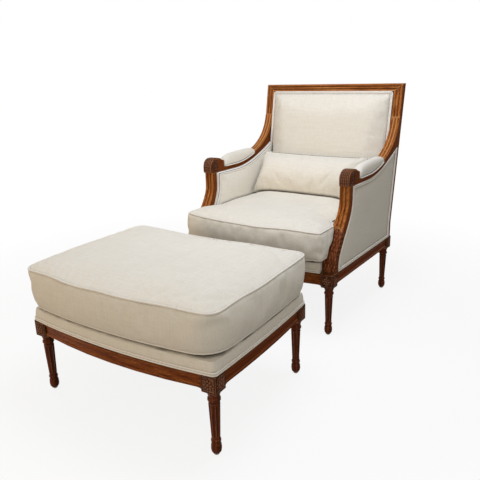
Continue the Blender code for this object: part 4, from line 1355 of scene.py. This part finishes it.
@dataclass
class Chair(Seat):
    """The armchair's upholstery, carving and finishes, in its own frame."""

    out: float = 0.3525
    rake: float = math.radians(9.4)
    rake_start: float = 0.330
    stile_front_foot: float = 0.5536
    stile_in: float = 0.3125
    back_top: float = 0.909
    side_pad_back: float = 0.337
    side_pad_border: float = 0.2935
    side_pad_crown: float = 0.011
    back_pad_crown: float = 0.046
    cushion_low_seam: float = 0.327
    cushion_high_seam: float = 0.432
    nose_half: float = 0.3185
    nose_y: float = -0.0665
    nose_bow: float = 0.033
    nose_corner: float = 0.015
    nose_flare: float = 0.006
    post_clear: float = 0.0035
    between_pads: float = 0.2755
    cushion_rear: float = 0.5185
    pillow_lean: float = math.radians(34.0)
    pillow_half: float = 0.109
    pillow_pull: float = 0.006
    arm_pad_height: float = 0.0545
    sweep: tuple = ((0.6314, 0.7985), (0.6146, 0.6984), (0.5313, 0.655), (0.475, 0.637))
    leaf_top: float = 0.428
    knuckle_y: float = 0.134
    knuckle_z: float = 0.6075
    knuckle_radius: float = 0.0305
    post: PostLine = field(default_factory=PostLine)

    def raked(self, z: float) -> float:
        """How far the back has leaned behind its foot at this height."""
        return math.tan(self.rake) * max(0.0, z - self.rake_start)

    def cushion_outline(self, z: float) -> np.ndarray:
        """The seat cushion's outline at a height: a bowed nose, then in between the posts.

        Args:
            z: the height, because the posts lean.

        Returns:
            The outline in the chair's own frame.
        """
        front = self.post.edge(z, -self.post.depth / 2) - 0.0065
        rear = self.post.edge(z, self.post.depth / 2)
        below = (self.cushion_high_seam - z) / (self.cushion_high_seam - self.cushion_low_seam)
        nose = self.nose_half + self.nose_flare * below
        reach = nose - self.nose_corner
        half = []
        for i in range(9):
            share = i / 8
            half.append((reach * share, self.nose_y - self.nose_bow * (1 - share * share)))
        for share in (0.2, 0.4, 0.6, 0.8):
            turn = share * math.pi / 2
            x = reach + self.nose_corner * math.sin(turn)
            half.append((x, self.nose_y + self.nose_corner * (1 - math.cos(turn))))
        half.append((nose, self.nose_y + self.nose_corner))
        beside = self.out - self.post.width(z) - self.post_clear
        for share in (0.0, 0.2, 0.4, 0.6, 0.8, 1.0):
            half.append((nose + (beside - nose) * smoothstep(share), front - 0.014 + 0.022 * share))
        half.append((beside - 0.005, (front + rear) / 2 + 0.004))
        half.append((self.between_pads, rear + 0.008))
        for inward, forward in ((0.0, 0.018), (0.005, 0.005), (0.018, 0.0)):
            half.append((self.between_pads - inward, self.cushion_rear - forward))
        return np.array(half + [(-x, y) for x, y in half[:0:-1]])

    def add_seat_cushion(self) -> None:
        """Makes the loose boxed cushion, bowed in front and cut round the posts."""
        heights = (self.cushion_low_seam, self.cushion_high_seam)
        rims = tuple(self.cushion_outline(z) for z in heights)
        crowns = {"crown": 0.016, "crown_reach": 0.15, "base_reach": 0.05}
        self.add_boxed_cushion("seat_cushion", Body.SEAT_CUSHION, rims, heights, **crowns)

    def add_pillow(self) -> None:
        """Makes the knife-edged lumbar pillow, leaning on the back pad."""
        low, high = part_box("lumbar_pillow")
        middle = (low + high) / 2 + Vector((0, -0.009, -0.006))
        half_x = (high.x - low.x) / 2 + 0.004
        lean = Matrix.Translation(middle) @ Matrix.Rotation(math.pi / 2 - self.pillow_lean, 4, "X")
        outline = []
        steps = 8
        for sign_x, sign_y in ((1, -1), (1, 1), (-1, 1), (-1, -1)):
            for i in range(steps):
                share = 2 * i / steps - 1
                bend = self.pillow_pull * (1 - share * share)
                if sign_x * sign_y < 0:
                    outline.append(((half_x - bend) * sign_x, self.pillow_half * share * -sign_y))
                else:
                    outline.append((half_x * -share * sign_x, (self.pillow_half - bend) * sign_y))
        rim = rounded(outline, 0.008, 3)
        pillow = self.stuffed(
            "lumbar_pillow_cover", "lumbar_pillow", lean, (rim, rim), (0.0, 0.0), Body.PILLOW,
            crown=0.072, crown_reach=0.105, base_crown=0.072, base_reach=0.105, fullness=0.72,
            fill=0.75, slack=0.022, cap=0.010, spacing=0.011, smooth=True,
        )
        seam = pillow.seam(True, 0.0004)
        Piping("lumbar_pillow_seam", Body.PILLOW, 0.0015).sew([seam], self.finishes.cloth)

    def add_back_pad(self) -> None:
        """Makes the crowned pad in the back frame and its double welt."""
        rise = math.cos(self.rake)
        low = (self.deck_top + 0.006 - self.rake_start) / rise
        high = (self.back_top - 0.001 - self.rake_start) / rise
        half = self.stile_in - 0.0015
        plane = (
            self.place.matrix()
            @ Matrix.Translation((0, self.stile_front_foot, self.rake_start))
            @ Matrix.Rotation(math.pi / 2 - self.rake, 4, "X")
        )
        outline = np.array([(-half, low), (half, low), (half, high), (-half, high)])
        rim = rounded(inset(outline, 0.0104), 0.014, 5)
        self.stuffed(
            "back_pad_cover", "back_pad", plane, (rim, rim), (-0.018, 0.002),
            crown=self.back_pad_crown - 0.008, crown_reach=0.11, wall_rows=3, fullness=0.62,
            slack=0.012, cap=0.008, pinned_base=True,
        )
        rings = [spaced(rounded(inset(outline, gap), 0.011, 4), 0.02) for gap in (0.0031, 0.0086)]
        self.add_welt("back_welt", [laid(plane, ring, 0.0015) for ring in rings], 0.0029)

    def add_side_fields(self, side: int, where: str) -> None:
        """Makes the padded field inside an arm, the flat one outside it, and their welts.

        Args:
            side: 1 for the right arm and -1 for the left one.
            where: the side's name in the nodes.
        """
        node = f"{where}_outer_side_panel"
        ring = end_ring(node, Axis.X, side > 0) - np.array([self.place.y, 0.0])
        outer_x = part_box(node)[side > 0].x - self.place.x
        plane = side_plane(outer_x - side * 0.0095, self.place) @ Matrix.Diagonal((1, 1, side, 1))
        rim = trimmed_inset(ring, 0.0125)
        self.stuffed(
            f"{where}_outer_side_cover", node, plane, (rim, rim), (0.0, 0.0075), crown=0.0022,
            crown_reach=0.03, wall_rows=2, fill=0.95, slack=0.004, cap=0.003, pinned_base=True,
        )
        welts = [laid(plane, trimmed_inset(ring, gap), 0.0102) for gap in (0.0036, 0.0100)]
        self.add_welt(f"{where}_outer_welt", welts, 0.0035)

        front = self.stile_front_foot - 0.004
        inner = np.array([(min(y, front + self.raked(z)), z) for y, z in ring])
        inner[:, 1] = np.maximum(inner[:, 1], self.deck_top - 0.030)
        depth = self.side_pad_back - self.side_pad_border
        plane = side_plane(side * self.side_pad_back, self.place) @ Matrix.Diagonal((1, 1, -side, 1))
        rim = trimmed_inset(inner, 0.0070)
        pad = self.stuffed(
            f"{where}_inner_side_cover", f"{where}_inner_side_pad", plane, (rim, rim),
            (0.001, depth - 0.004), crown=self.side_pad_crown + 0.003, crown_reach=0.06,
            wall_rows=5, slack=0.008, cap=0.005, pinned_base=True,
        )
        edge = trimmed_inset(inner, 0.0034)
        welts = [pad.seam(True, 0.0016, 0.0002)]
        welts += [laid(plane, edge, height) for height in (0.0265, 0.0328)]
        self.add_welt(f"{where}_inner_welt", welts, 0.0029)

    def add_arm_pad(self, where: str) -> None:
        """Makes the stuffed pad on the arm's seat.

        Args:
            where: the side's name in the nodes.
        """
        surface = Surface(f"{where}_arm")
        low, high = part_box(f"{where}_arm_pad")
        middle = (low.x + high.x) / 2
        half = (high.x - low.x) / 2 + 0.0015
        front, rear = low.y + 0.0012, high.y - 0.0012
        stations, around = 46, 20
        points = []
        welt: dict[int, list[Vector]] = {-1: [], 1: []}
        for i in range(stations + 1):
            share = i / stations
            y = front + (rear - front) * share
            above = high.z + 0.002 if share > 0.4 else 1.0
            bottom = surface.hit(Vector((middle, y, above)), Vector((0, 0, -1))).z + 0.0006
            # It is fullest before its middle and blunt at both ends
            rise = 0.28 + 0.72 * max(0.0, math.sin(math.pi * share**0.75)) ** 0.6
            blunt = math.sqrt(min(1.0, (min(share, 1 - share) * stations + 0.25) / 2.6))
            height = self.arm_pad_height * rise * (0.55 + 0.45 * blunt)
            width = half * (0.90 + 0.10 * rise) * (0.84 + 0.16 * blunt)
            for flank, line in welt.items():
                line.append(Vector((middle + flank * (width + 0.0006), y, bottom + 0.0028)))
            # Its section is a squarish oval, flatter below than above
            for k in range(around):
                turn = 2 * math.pi * k / around
                c, s = math.cos(turn), math.sin(turn)
                x = math.copysign(abs(c) ** 0.75, c) * width
                lift = 0.30 + 0.70 * abs(s) ** 0.85 if s >= 0 else 0.30 - 0.30 * abs(s) ** 0.5
                z = bottom + height * lift
                wrinkle = 0.0005 * noise.noise(Vector((x * 40, y * 60, z * 40)))
                points.append(Vector((middle + x, y, z + wrinkle)))
        # The rings turn the other way than a sleeve's, so its faces are turned over
        faces = [(face[0], *face[:0:-1]) for face in sleeve_faces(stations + 1, around)]
        name = f"{where}_arm_pad_cover"
        piece = make_piece(name, points, faces, self.finishes.cloth, self.body, 60.0)
        smooth_out(piece)
        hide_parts(f"{where}_arm_pad")
        self.add_welt(f"{where}_arm_pad_welt", [welt[1][2:-2] + welt[-1][-3:1:-1]], 0.0024)

    def add_deck(self) -> None:
        """Covers the sprung deck and trims its front edge."""
        ring = end_ring("seat_deck", Axis.Z, True) - np.array([self.place.x, self.place.y])
        ring = inset(ring, 0.0015)
        self.add_deck_cover("seat_deck", (ring, ring), 0.004, 0.0035, 0.002)
        front = sorted((x, y - 0.0018) for x, y in ring if y < -0.004)
        welts = [laid(self.place.matrix(), front, self.rail_top + lift) for lift in DOUBLE_WELT]
        self.add_welt("seat_deck_welt", welts, 0.0031, closed=False)

    def add_back_field(self) -> None:
        """Covers the flat field behind the back, with its welt."""
        low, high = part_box("back_outer_panel")
        half = (high.x - low.x) / 2
        rear_foot = high.y - math.tan(self.rake) * (high.z - self.rake_start) - self.place.y
        thickness = 0.006
        # The rows lie closer together where the back starts to lean
        heights = [self.rail_top + 0.001, 0.29, 0.31, self.rake_start, 0.35, 0.38]
        heights += [0.38 + (high.z - 0.001 - 0.38) * i / 24 for i in range(1, 25)]
        columns = 28
        points = []
        for layer in (0, 1):
            for z in heights:
                for i in range(columns + 1):
                    x = -half + 0.001 + 2 * (half - 0.001) * i / columns
                    rear = rear_foot + self.raked(z) - 0.0012
                    edge = min(half - abs(x), z - heights[0], heights[-1] - z) / 0.03
                    swell = 0.0010 * math.sqrt(min(max(edge, 0.0), 1.0))
                    y = rear + swell if layer else rear - thickness
                    points.append(self.place.matrix() @ Vector((x, y, z)))
        faces = slab_faces(columns, len(heights) - 1)
        cloth = self.finishes.cloth
        piece = make_piece("back_outer_cover", points, faces, cloth, self.body, 40.0)
        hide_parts("back_outer_panel")
        welts = []
        for gap in DOUBLE_WELT:
            x = half - gap
            levels = (heights[0] + gap, self.rake_start, heights[-1] - gap)
            corners = [(-x, levels[0])] + [(x, z) for z in levels] + [(-x, z) for z in levels[:0:-1]]
            path = spaced(corners, 0.03)
            line = [(px, rear_foot + self.raked(pz) - 0.0008, pz) for px, pz in path]
            welts.append([self.place.matrix() @ Vector(p) for p in line])
        self.add_welt("back_outer_welt", welts, 0.0030)

    def reed_sweep(self, side: int, where: str) -> None:
        """Carries the stile's reeds down the arm's sweep to its pad.

        Args:
            side: 1 for the right arm and -1 for the left one.
            where: the side's name in the nodes.
        """
        matrix = self.place.matrix()
        start, first, last, end = (Vector(point) for point in self.sweep)

        def sight(u: float, v: float) -> tuple[Vector, Vector]:
            """Lines square to the sweep, from its outer edge to its inner one."""
            t = (1 - v) / 2
            r = 1 - t
            spot = start * r**3 + first * 3 * t * r**2 + last * 3 * t * t * r + end * t**3
            run = (first - start) * r**2 + (last - first) * 2 * t * r + (end - last) * t * t
            inward = Vector((0, -run.y, run.x)).normalized()
            share = (1 - side * u) / 2
            x = side * (self.out - 0.0008 - (self.out - self.stile_in - 0.0016) * share)
            return matrix @ (Vector((x, spot.x, spot.y)) - inward * 0.02), inward

        arm = Surface(f"{where}_arm")
        carving = Carving(f"{where}_sweep_reeds", self.body, arm, self.finishes.swept_wood, 0.0027)
        carving.raise_relief(40, 64, sight, lambda u, v: reeds((1 - side * u) / 2, (1 - v) / 2))
        carving.finish_piece()

    def carve_leaf(self, side: int, where: str) -> None:
        """Carves the leaf round the post's foot.

        Args:
            side: 1 for the right arm and -1 for the left one.
            where: the side's name in the nodes.
        """
        foot = self.rail_top + 0.002
        bend = 0.008
        shown = self.post.depth - 0.003

        def sight(u: float, v: float) -> tuple[Vector, Vector]:
            """Lines round the post, from one flank over its front to the other."""
            z = foot + (self.leaf_top - foot) * (v + 1) / 2
            half = self.post.width(z) / 2
            way = u * (half + shown)
            x = max(-half, min(half, way))
            back = max(0.0, abs(way) - half) - self.post.depth / 2
            core_x = max(-half + bend, min(half - bend, x))
            out = Vector((x - core_x, back - max(back, bend - self.post.depth / 2), 0)).normalized()
            spot = Vector((side * (self.out - half) + x, self.post.edge(z, back), z))
            return self.place.matrix() @ (spot + out * 0.05), -out

        def leaf(u: float, v: float) -> float:
            """The leaf's height, low on the flank beside the seat cushion."""
            beside = smoothstep((-u * side - 0.36) / 0.14)
            return acanthus(u, v) * (1 - 0.7 * beside)

        post = Surface(f"{where}_arm_post")
        carving = Carving(f"{where}_post_leaf", self.body, post, self.finishes.leaf_wood, 0.0046)
        carving.raise_relief(104, 130, sight, leaf)
        carving.finish_piece()

    def carve_knuckle(self, side: int, where: str) -> None:
        """Carves a scroll on each side of the knuckle and the lobes that fold over it.

        Args:
            side: 1 for the right arm and -1 for the left one.
            where: the side's name in the nodes.
        """
        matrix = self.place.matrix()
        middle = Vector((side * (self.out - 0.020), self.knuckle_y, self.knuckle_z))

        def beside(u: float, v: float, flank: int) -> tuple[Vector, Vector]:
            """Lines from beside the knuckle."""
            offset = Vector((flank * 0.06, *on_disc(u, v)))
            offset.yz *= self.knuckle_radius - 0.0016
            return matrix @ (middle + offset), Vector((-flank, 0, 0))

        def over(u: float, v: float) -> tuple[Vector, Vector]:
            """Lines round the knuckle's front and down on its top."""
            share = (v + 1) / 2
            target = middle + Vector((u * 0.0185, 0, 0))
            if share < 0.6:
                turn = math.radians(-45 + 135 * share / 0.6)
                direction = Vector((0, math.cos(turn), -math.sin(turn)))
            else:
                direction = Vector((0, 0, -1))
                target.y += 0.058 * (share - 0.6) / 0.4
            return matrix @ (target - direction * 0.1), direction

        arm, wood = Surface(f"{where}_arm"), self.finishes.aged_and_shaded_wood[Axis.Y]
        carving = Carving(f"{where}_knuckle_carving", self.body, arm, wood)
        for flank in (1, -1):
            carving.raise_relief(48, 48, partial(beside, flank=flank), scroll)
        carving.raise_relief(50, 104, over, lobes)
        carving.finish_piece()

    def dress(self) -> None:
        """Makes everything on the chair."""
        self.add_seat_cushion()
        self.add_pillow()
        self.add_back_pad()
        self.add_back_field()
        self.add_deck()
        for side, where in ((1, "right"), (-1, "left")):
            self.add_side_fields(side, where)
            self.add_arm_pad(where)
            self.reed_sweep(side, where)
            self.carve_leaf(side, where)
            self.carve_knuckle(side, where)


@dataclass
class Stool(Seat):
    """The footstool's upholstery and finishes, in its own frame."""

    body: Body = Body.STOOL
    half_x: float = 0.3588
    half_y: float = 0.2672
    front_bow: float = 0.026
    side_bow: float = 0.007
    rear_hollow: float = 0.018
    overhang: float = 0.008
    high_corner: float = 0.048
    low_corner: float = 0.090
    low_seam: float = 0.3200
    high_seam: float = 0.437

    def outline(self, overhang: float, corner: float, clear: float = 0.031) -> np.ndarray:
        """The stool's bowed outline.

        Args:
            overhang: how far it stands out of the blocks' faces.
            corner: how far along each side a corner's rounding starts.
            clear: how far from a corner the side's first point lies, over twice that.

        Returns:
            The outline in the stool's own frame.
        """
        half_x, half_y = self.half_x + overhang, self.half_y + overhang
        steps = 12
        bows = (self.front_bow, self.side_bow, -self.rear_hollow, self.side_bow)
        ring = []
        for quarter, bow in enumerate(bows):
            reach, far = (half_y, half_x) if quarter % 2 else (half_x, half_y)
            turned = Matrix.Rotation(quarter * math.pi / 2, 2)
            bowed = 1 - clear / reach
            for share in (-1.0, *(bowed * (2 * i / steps - 1) for i in range(steps + 1))):
                point = Vector((reach * share, -far - bow * (1 - share * share)))
                ring.append(tuple(turned @ point))
        return rounded(ring, corner, 6)

    def add_cushion(self) -> None:
        """Makes the loose boxed cushion, with rounder corners below than above."""
        clear = self.low_corner * 2.3
        corners = (self.low_corner, self.high_corner)
        rims = tuple(self.outline(self.overhang, corner, clear) for corner in corners)
        heights = (self.low_seam, self.high_seam)
        crowns = {"crown": 0.020, "crown_reach": 0.17, "base_reach": 0.04}
        self.add_boxed_cushion("stool_cushion", Body.STOOL_CUSHION, rims, heights, **crowns)

    def add_deck(self) -> None:
        """Covers the sprung deck and trims it above the rails."""
        rims = (self.outline(-0.003, 0.014), self.outline(-0.005, 0.016))
        self.add_deck_cover("stool_deck", rims, 0.005, 0.0045, 0.003)
        ring = spaced(self.outline(-0.0010, 0.013), 0.02)
        welts = [laid(self.place.matrix(), ring, self.rail_top + lift) for lift in DOUBLE_WELT]
        self.add_welt("stool_deck_welt", welts, 0.0031)

    def dress(self) -> None:
        """Makes everything on the stool."""
        self.add_cushion()
        self.add_deck()


@dataclass
class LegWork:
    """The rosettes on the outward faces of one leg's block."""

    node: str
    seat: Seat
    outward: tuple[int, int]
    block_half: float = 0.0235
    low: float = 0.2055
    high: float = 0.2575

    def carve(self) -> None:
        """Carves a rosette on both outward faces."""
        name = self.node.replace("_leg", "_rosettes")
        wood = self.seat.finishes.aged_and_shaded_wood[Axis.Z]
        carving = Carving(name, self.seat.body, Surface(self.node), wood, 0.0040)
        middle = middle_of(self.node)
        turn = Matrix.Rotation(self.seat.place.turn, 3, "Z")

        def sight(u: float, v: float, out: Vector) -> tuple[Vector, Vector]:
            """Lines from in front of a face that looks out this way."""
            along = Vector((-out.y, out.x, 0))
            spot = turn @ (out * 0.1 + along * (u * (self.block_half - 0.0008)))
            z = (self.low + self.high) / 2 + v * (self.high - self.low) / 2
            return Vector((middle.x + spot.x, middle.y + spot.y, z)), turn @ -out

        for out in (Vector((self.outward[0], 0, 0)), Vector((0, self.outward[1], 0))):
            carving.raise_relief(44, 44, partial(sight, out=out), rosette, stained_ground=True)
        carving.finish_piece()


# The undersides


@dataclass
class Underside:
    """Webbing and lining under one seat."""

    seat: Seat
    webbing: str
    lining: str
    rail_name: str
    sag: float = 0.003
    pucker: float = 0.0012
    lining_thickness: float = 0.0005
    strip: float = 0.050
    strips: int = 5
    strip_thickness: float = 0.0006
    strip_wave: float = 0.0008

    def on_own_axes(self, ring: np.ndarray) -> np.ndarray:
        """The points of a ring in the seat's own frame."""
        back = self.seat.place.matrix().inverted()
        return np.array([tuple(back @ Vector((*p, 0)))[:2] for p in ring])

    def add_lining(self) -> None:
        """Stretches the black lining below the webbing, tacked along its edges."""
        rim = end_ring(self.lining, Axis.Z, False)
        rim = spaced(rim[::-1] if signed_area(rim) < 0 else rim, 0.012)
        cloth = Panel.cut(rim, 0.014)
        near = np.exp(-cloth.depth / 0.018)
        folds = np.array([noise.noise(Vector((x * 45, y * 45, 0))) for x, y in cloth.points])
        low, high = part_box(self.lining)
        heights = (low.z + high.z) / 2 - cloth.crown(self.sag, 0.12) + self.pucker * near * folds
        points = []
        for lift in (self.lining_thickness / 2, -self.lining_thickness / 2):
            points += [(*p, h + lift) for p, h in zip(cloth.points, heights)]
        count = len(cloth.points)
        faces = [tuple(t) for t in cloth.triangles]
        faces += [tuple(i + count for i in reversed(t)) for t in cloth.triangles]
        for i in range(cloth.rim):
            j = (i + 1) % cloth.rim
            faces.append((j, i, i + count, j + count))
        name, finish = f"{self.lining}_cloth", self.seat.finishes.lining
        piece = make_piece(name, points, faces, finish, self.seat.body, 40.0)
        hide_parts(self.lining)
        straight = self.on_own_axes(rim)

    def add_webbing(self) -> None:
        """Weaves the strips over and under each other."""
        local = self.on_own_axes(end_ring(self.webbing, Axis.Z, True))
        low, high = local.min(axis=0), local.max(axis=0)
        pitch = (high - low - self.strip) / (self.strips - 1)
        box_low, box_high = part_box(self.webbing)
        middle = (box_low.z + box_high.z) / 2
        steps = 48
        corners = ((-1, -1), (1, -1), (1, 1), (-1, 1))
        parts = []
        for axis, n in product((0, 1), range(self.strips)):
            centre = low[1 - axis] + self.strip / 2 + pitch[1 - axis] * n
            points = []
            for i in range(steps + 1):
                along = low[axis] + (high[axis] - low[axis]) * i / steps
                phase = (along - low[axis] - self.strip / 2) / pitch[axis]
                wave = math.cos(math.pi * phase) * (1 if (n + axis) % 2 else -1)
                for across, lift in corners:
                    spot = (along, centre + across * self.strip / 2)[:: -1 if axis else 1]
                    z = middle + self.strip_wave * wave + lift * self.strip_thickness / 2
                    points.append(self.seat.place.matrix() @ Vector((*spot, z)))
            parts.append((points, sleeve_faces(steps + 1, len(corners))))
        points, faces = joined(parts)
        name, finish = f"{self.webbing}_strips", self.seat.finishes.webbing
        piece = make_piece(name, points, faces, finish, self.seat.body, 30.0)
        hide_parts(self.webbing)


# The studio


@dataclass(frozen=True)
class Lamp:
    """A square soft lamp that hangs at a spot and points at a target."""

    name: str
    spot: tuple[float, float, float]
    target: tuple[float, float, float]
    side: float
    watts: float
    colour: str

    def hang(self) -> None:
        """Adds the lamp to the scene."""
        data = bpy.data.lights.new(self.name, "AREA")
        data.shape = "SQUARE"
        data.size = self.side
        data.energy = self.watts
        data.color = linear(self.colour)[:3]
        lamp = bpy.data.objects.new(self.name, data)
        lamp.location = self.spot
        lamp.visible_camera = False
        lamp.rotation_mode = "QUATERNION"
        aim = Vector(self.target) - Vector(self.spot)
        lamp.rotation_quaternion = aim.to_track_quat("-Z", "Y")
        bpy.context.scene.collection.objects.link(lamp)


@dataclass(frozen=True)
class Studio:
    """A plain pale floor, soft lamps and the camera at the photograph's angle."""

    chair: Place
    yaw: float = math.radians(35.5252)
    pitch: float = math.radians(-17.3571)
    roll: float = math.radians(-1.7584)
    camera_spot: tuple[float, float, float] = (1.1900, -1.7912, 1.0171)
    focal_pixels: float = 543.7277
    picture_pixels: float = 480.0
    sensor_mm: float = 36.0
    floor_half: float = 6.0
    floor_colour: str = "8f8b84"
    room_colour: str = "fbf8f4"
    room_strength: float = 0.33
    lamps: tuple[Lamp, ...] = (
        Lamp("overhead", (0.28, -0.10, 2.0), (-0.08, 0.12, 0.4), 0.9, 16.8, "ebf1ff"),
        Lamp("front_left", (-1.3, -2.6, 0.55), (0, 0, 0.45), 1.0, 12.3, "ffdaaa"),
        Lamp("front_right", (1.6, -2.05, 1.3), (0, -0.5, 0.4), 1.0, 9.9, "fff4e4"),
        Lamp("left_window", (-1.2, -0.5, 1.4), (-0.2, 0.5, 0.7), 0.6, 3.0, "fff2dc"),
    )

    def add_camera(self) -> None:
        """Sets up the camera."""
        data = bpy.data.cameras.new("camera")
        camera = bpy.data.objects.new("camera", data)
        bpy.context.scene.collection.objects.link(camera)
        data.sensor_width = self.sensor_mm
        data.lens = self.focal_pixels / self.picture_pixels * self.sensor_mm
        ahead = Vector(
            (
                -math.sin(self.yaw) * math.cos(self.pitch),
                math.cos(self.yaw) * math.cos(self.pitch),
                math.sin(self.pitch),
            )
        )
        right = Vector((math.cos(self.yaw), math.sin(self.yaw), 0))
        up = right.cross(ahead)
        rolled_right = right * math.cos(self.roll) + up * math.sin(self.roll)
        rolled_up = up * math.cos(self.roll) - right * math.sin(self.roll)
        turned = Matrix((rolled_right, rolled_up, -ahead)).transposed().to_4x4()
        spot = Vector(self.camera_spot) + Vector((self.chair.x, self.chair.y, 0))
        camera.matrix_world = Matrix.Translation(spot) @ turned
        bpy.context.scene.camera = camera

    def add_floor(self) -> None:
        """Lays a plain floor that the camera and reflections see as white where it is lit."""
        half = self.floor_half
        material, net, shader = start_material("pale_floor")
        net.feed(shader, {"Base Color": linear(self.floor_colour), "Roughness": 0.9})
        mesh = bpy.data.meshes.new("floor")
        corners = [(-half, -half, 0), (half, -half, 0), (half, half, 0), (-half, half, 0)]
        mesh.from_pydata(corners, [], [(0, 1, 2, 3)])
        mesh.materials.append(material)
        floor = bpy.data.objects.new("floor", mesh)
        bpy.context.scene.collection.objects.link(floor)
        white = net.add("Emission", {"Color": linear(WHITE), "Strength": 1.0}).outputs[0]
        lit = net.add("BsdfDiffuse", {"Color": linear(WHITE)}).outputs[0]
        distance = net.add("VectorMath", {0: net.place()}, operation="LENGTH").outputs["Value"]
        seen_floor = net.layered(net.ranged(distance, (0.9, 2.0), (0.86, 1.0)), lit, white)
        mixed = net.layered(net.seen(), shader.outputs[0], seen_floor)
        net.feed(net.tree.nodes["Material Output"], {"Surface": mixed})

    def add_world(self) -> None:
        """Fills the room with soft light that the camera sees as white."""
        world = bpy.data.worlds.new("room")
        world.use_nodes = True
        net = Net(world.node_tree)
        soft = {"Color": linear(self.room_colour), "Strength": self.room_strength}
        soft = net.add("Background", soft).outputs[0]
        white = net.add("Background", {"Color": linear(WHITE), "Strength": 1.0}).outputs[0]
        mixed = net.layered(net.seen(), soft, white)
        net.feed(net.tree.nodes["World Output"], {"Surface": mixed})
        bpy.context.scene.world = world

    def set_up(self) -> None:
        """Builds the studio."""
        bpy.context.scene.view_settings.view_transform = "Standard"
        self.add_camera()
        self.add_floor()
        self.add_world()
        for lamp in self.lamps:
            lamp.hang()


# Everything together


def dress_wood(finishes: FinishShelf) -> None:
    """Gives each wooden or metal node of the frame its finish, with the grain along it."""
    for name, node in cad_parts.items():
        if name.endswith("_glide"):
            finish = finishes.glide
        elif name in ("left_arm", "right_arm"):
            finish = finishes.swept_wood
        # The legs take the aged finish, whose darkness also paints the shade under the seat
        elif name.endswith("_leg"):
            finish = finishes.aged_and_shaded_wood[Axis.Z]
        elif name == "top_rail":
            finish = finishes.wood[Axis.X]
        elif name.endswith("_rail"):
            across = "front" in name or "rear" in name
            finish = finishes.shaded_wood[Axis.X if across else Axis.Y]
        else:
            finish = finishes.wood[Axis.Z]
        for slot in node.material_slots:
            slot.material = finish


def main() -> None:
    """Dresses the set and builds the studio."""
    logging.basicConfig(level=logging.INFO, format="%(message)s")
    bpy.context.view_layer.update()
    finishes = FinishShelf()
    left, right = middle_of("front_left_leg"), middle_of("front_right_leg")
    chair = Chair(Place((left.x + right.x) / 2, (left.y + right.y) / 2), finishes)
    corners = [middle_of(f"stool_{where}_leg") for where in CORNERS]
    centre = sum(corners, Vector()) / len(corners)
    across = corners[1] - corners[0]
    stool = Stool(Place(centre.x, centre.y, math.atan2(across.y, across.x)), finishes)
    dress_wood(finishes)
    chair.dress()
    stool.dress()
    for seat, prefix in ((chair, ""), (stool, "stool_")):
        for where, outward in CORNERS.items():
            LegWork(f"{prefix}{where}_leg", seat, outward).carve()
    for underside in (
        Underside(chair, "seat_webbing", "dust_cover", "{}_seat_rail"),
        Underside(stool, "stool_webbing", "stool_dust_cover", "stool_{}_rail"),
    ):
        underside.add_webbing()
        underside.add_lining()
    stuff(chair.forms + stool.forms)
    Studio(chair.place).set_up()


if __name__ == "__main__":
    main()
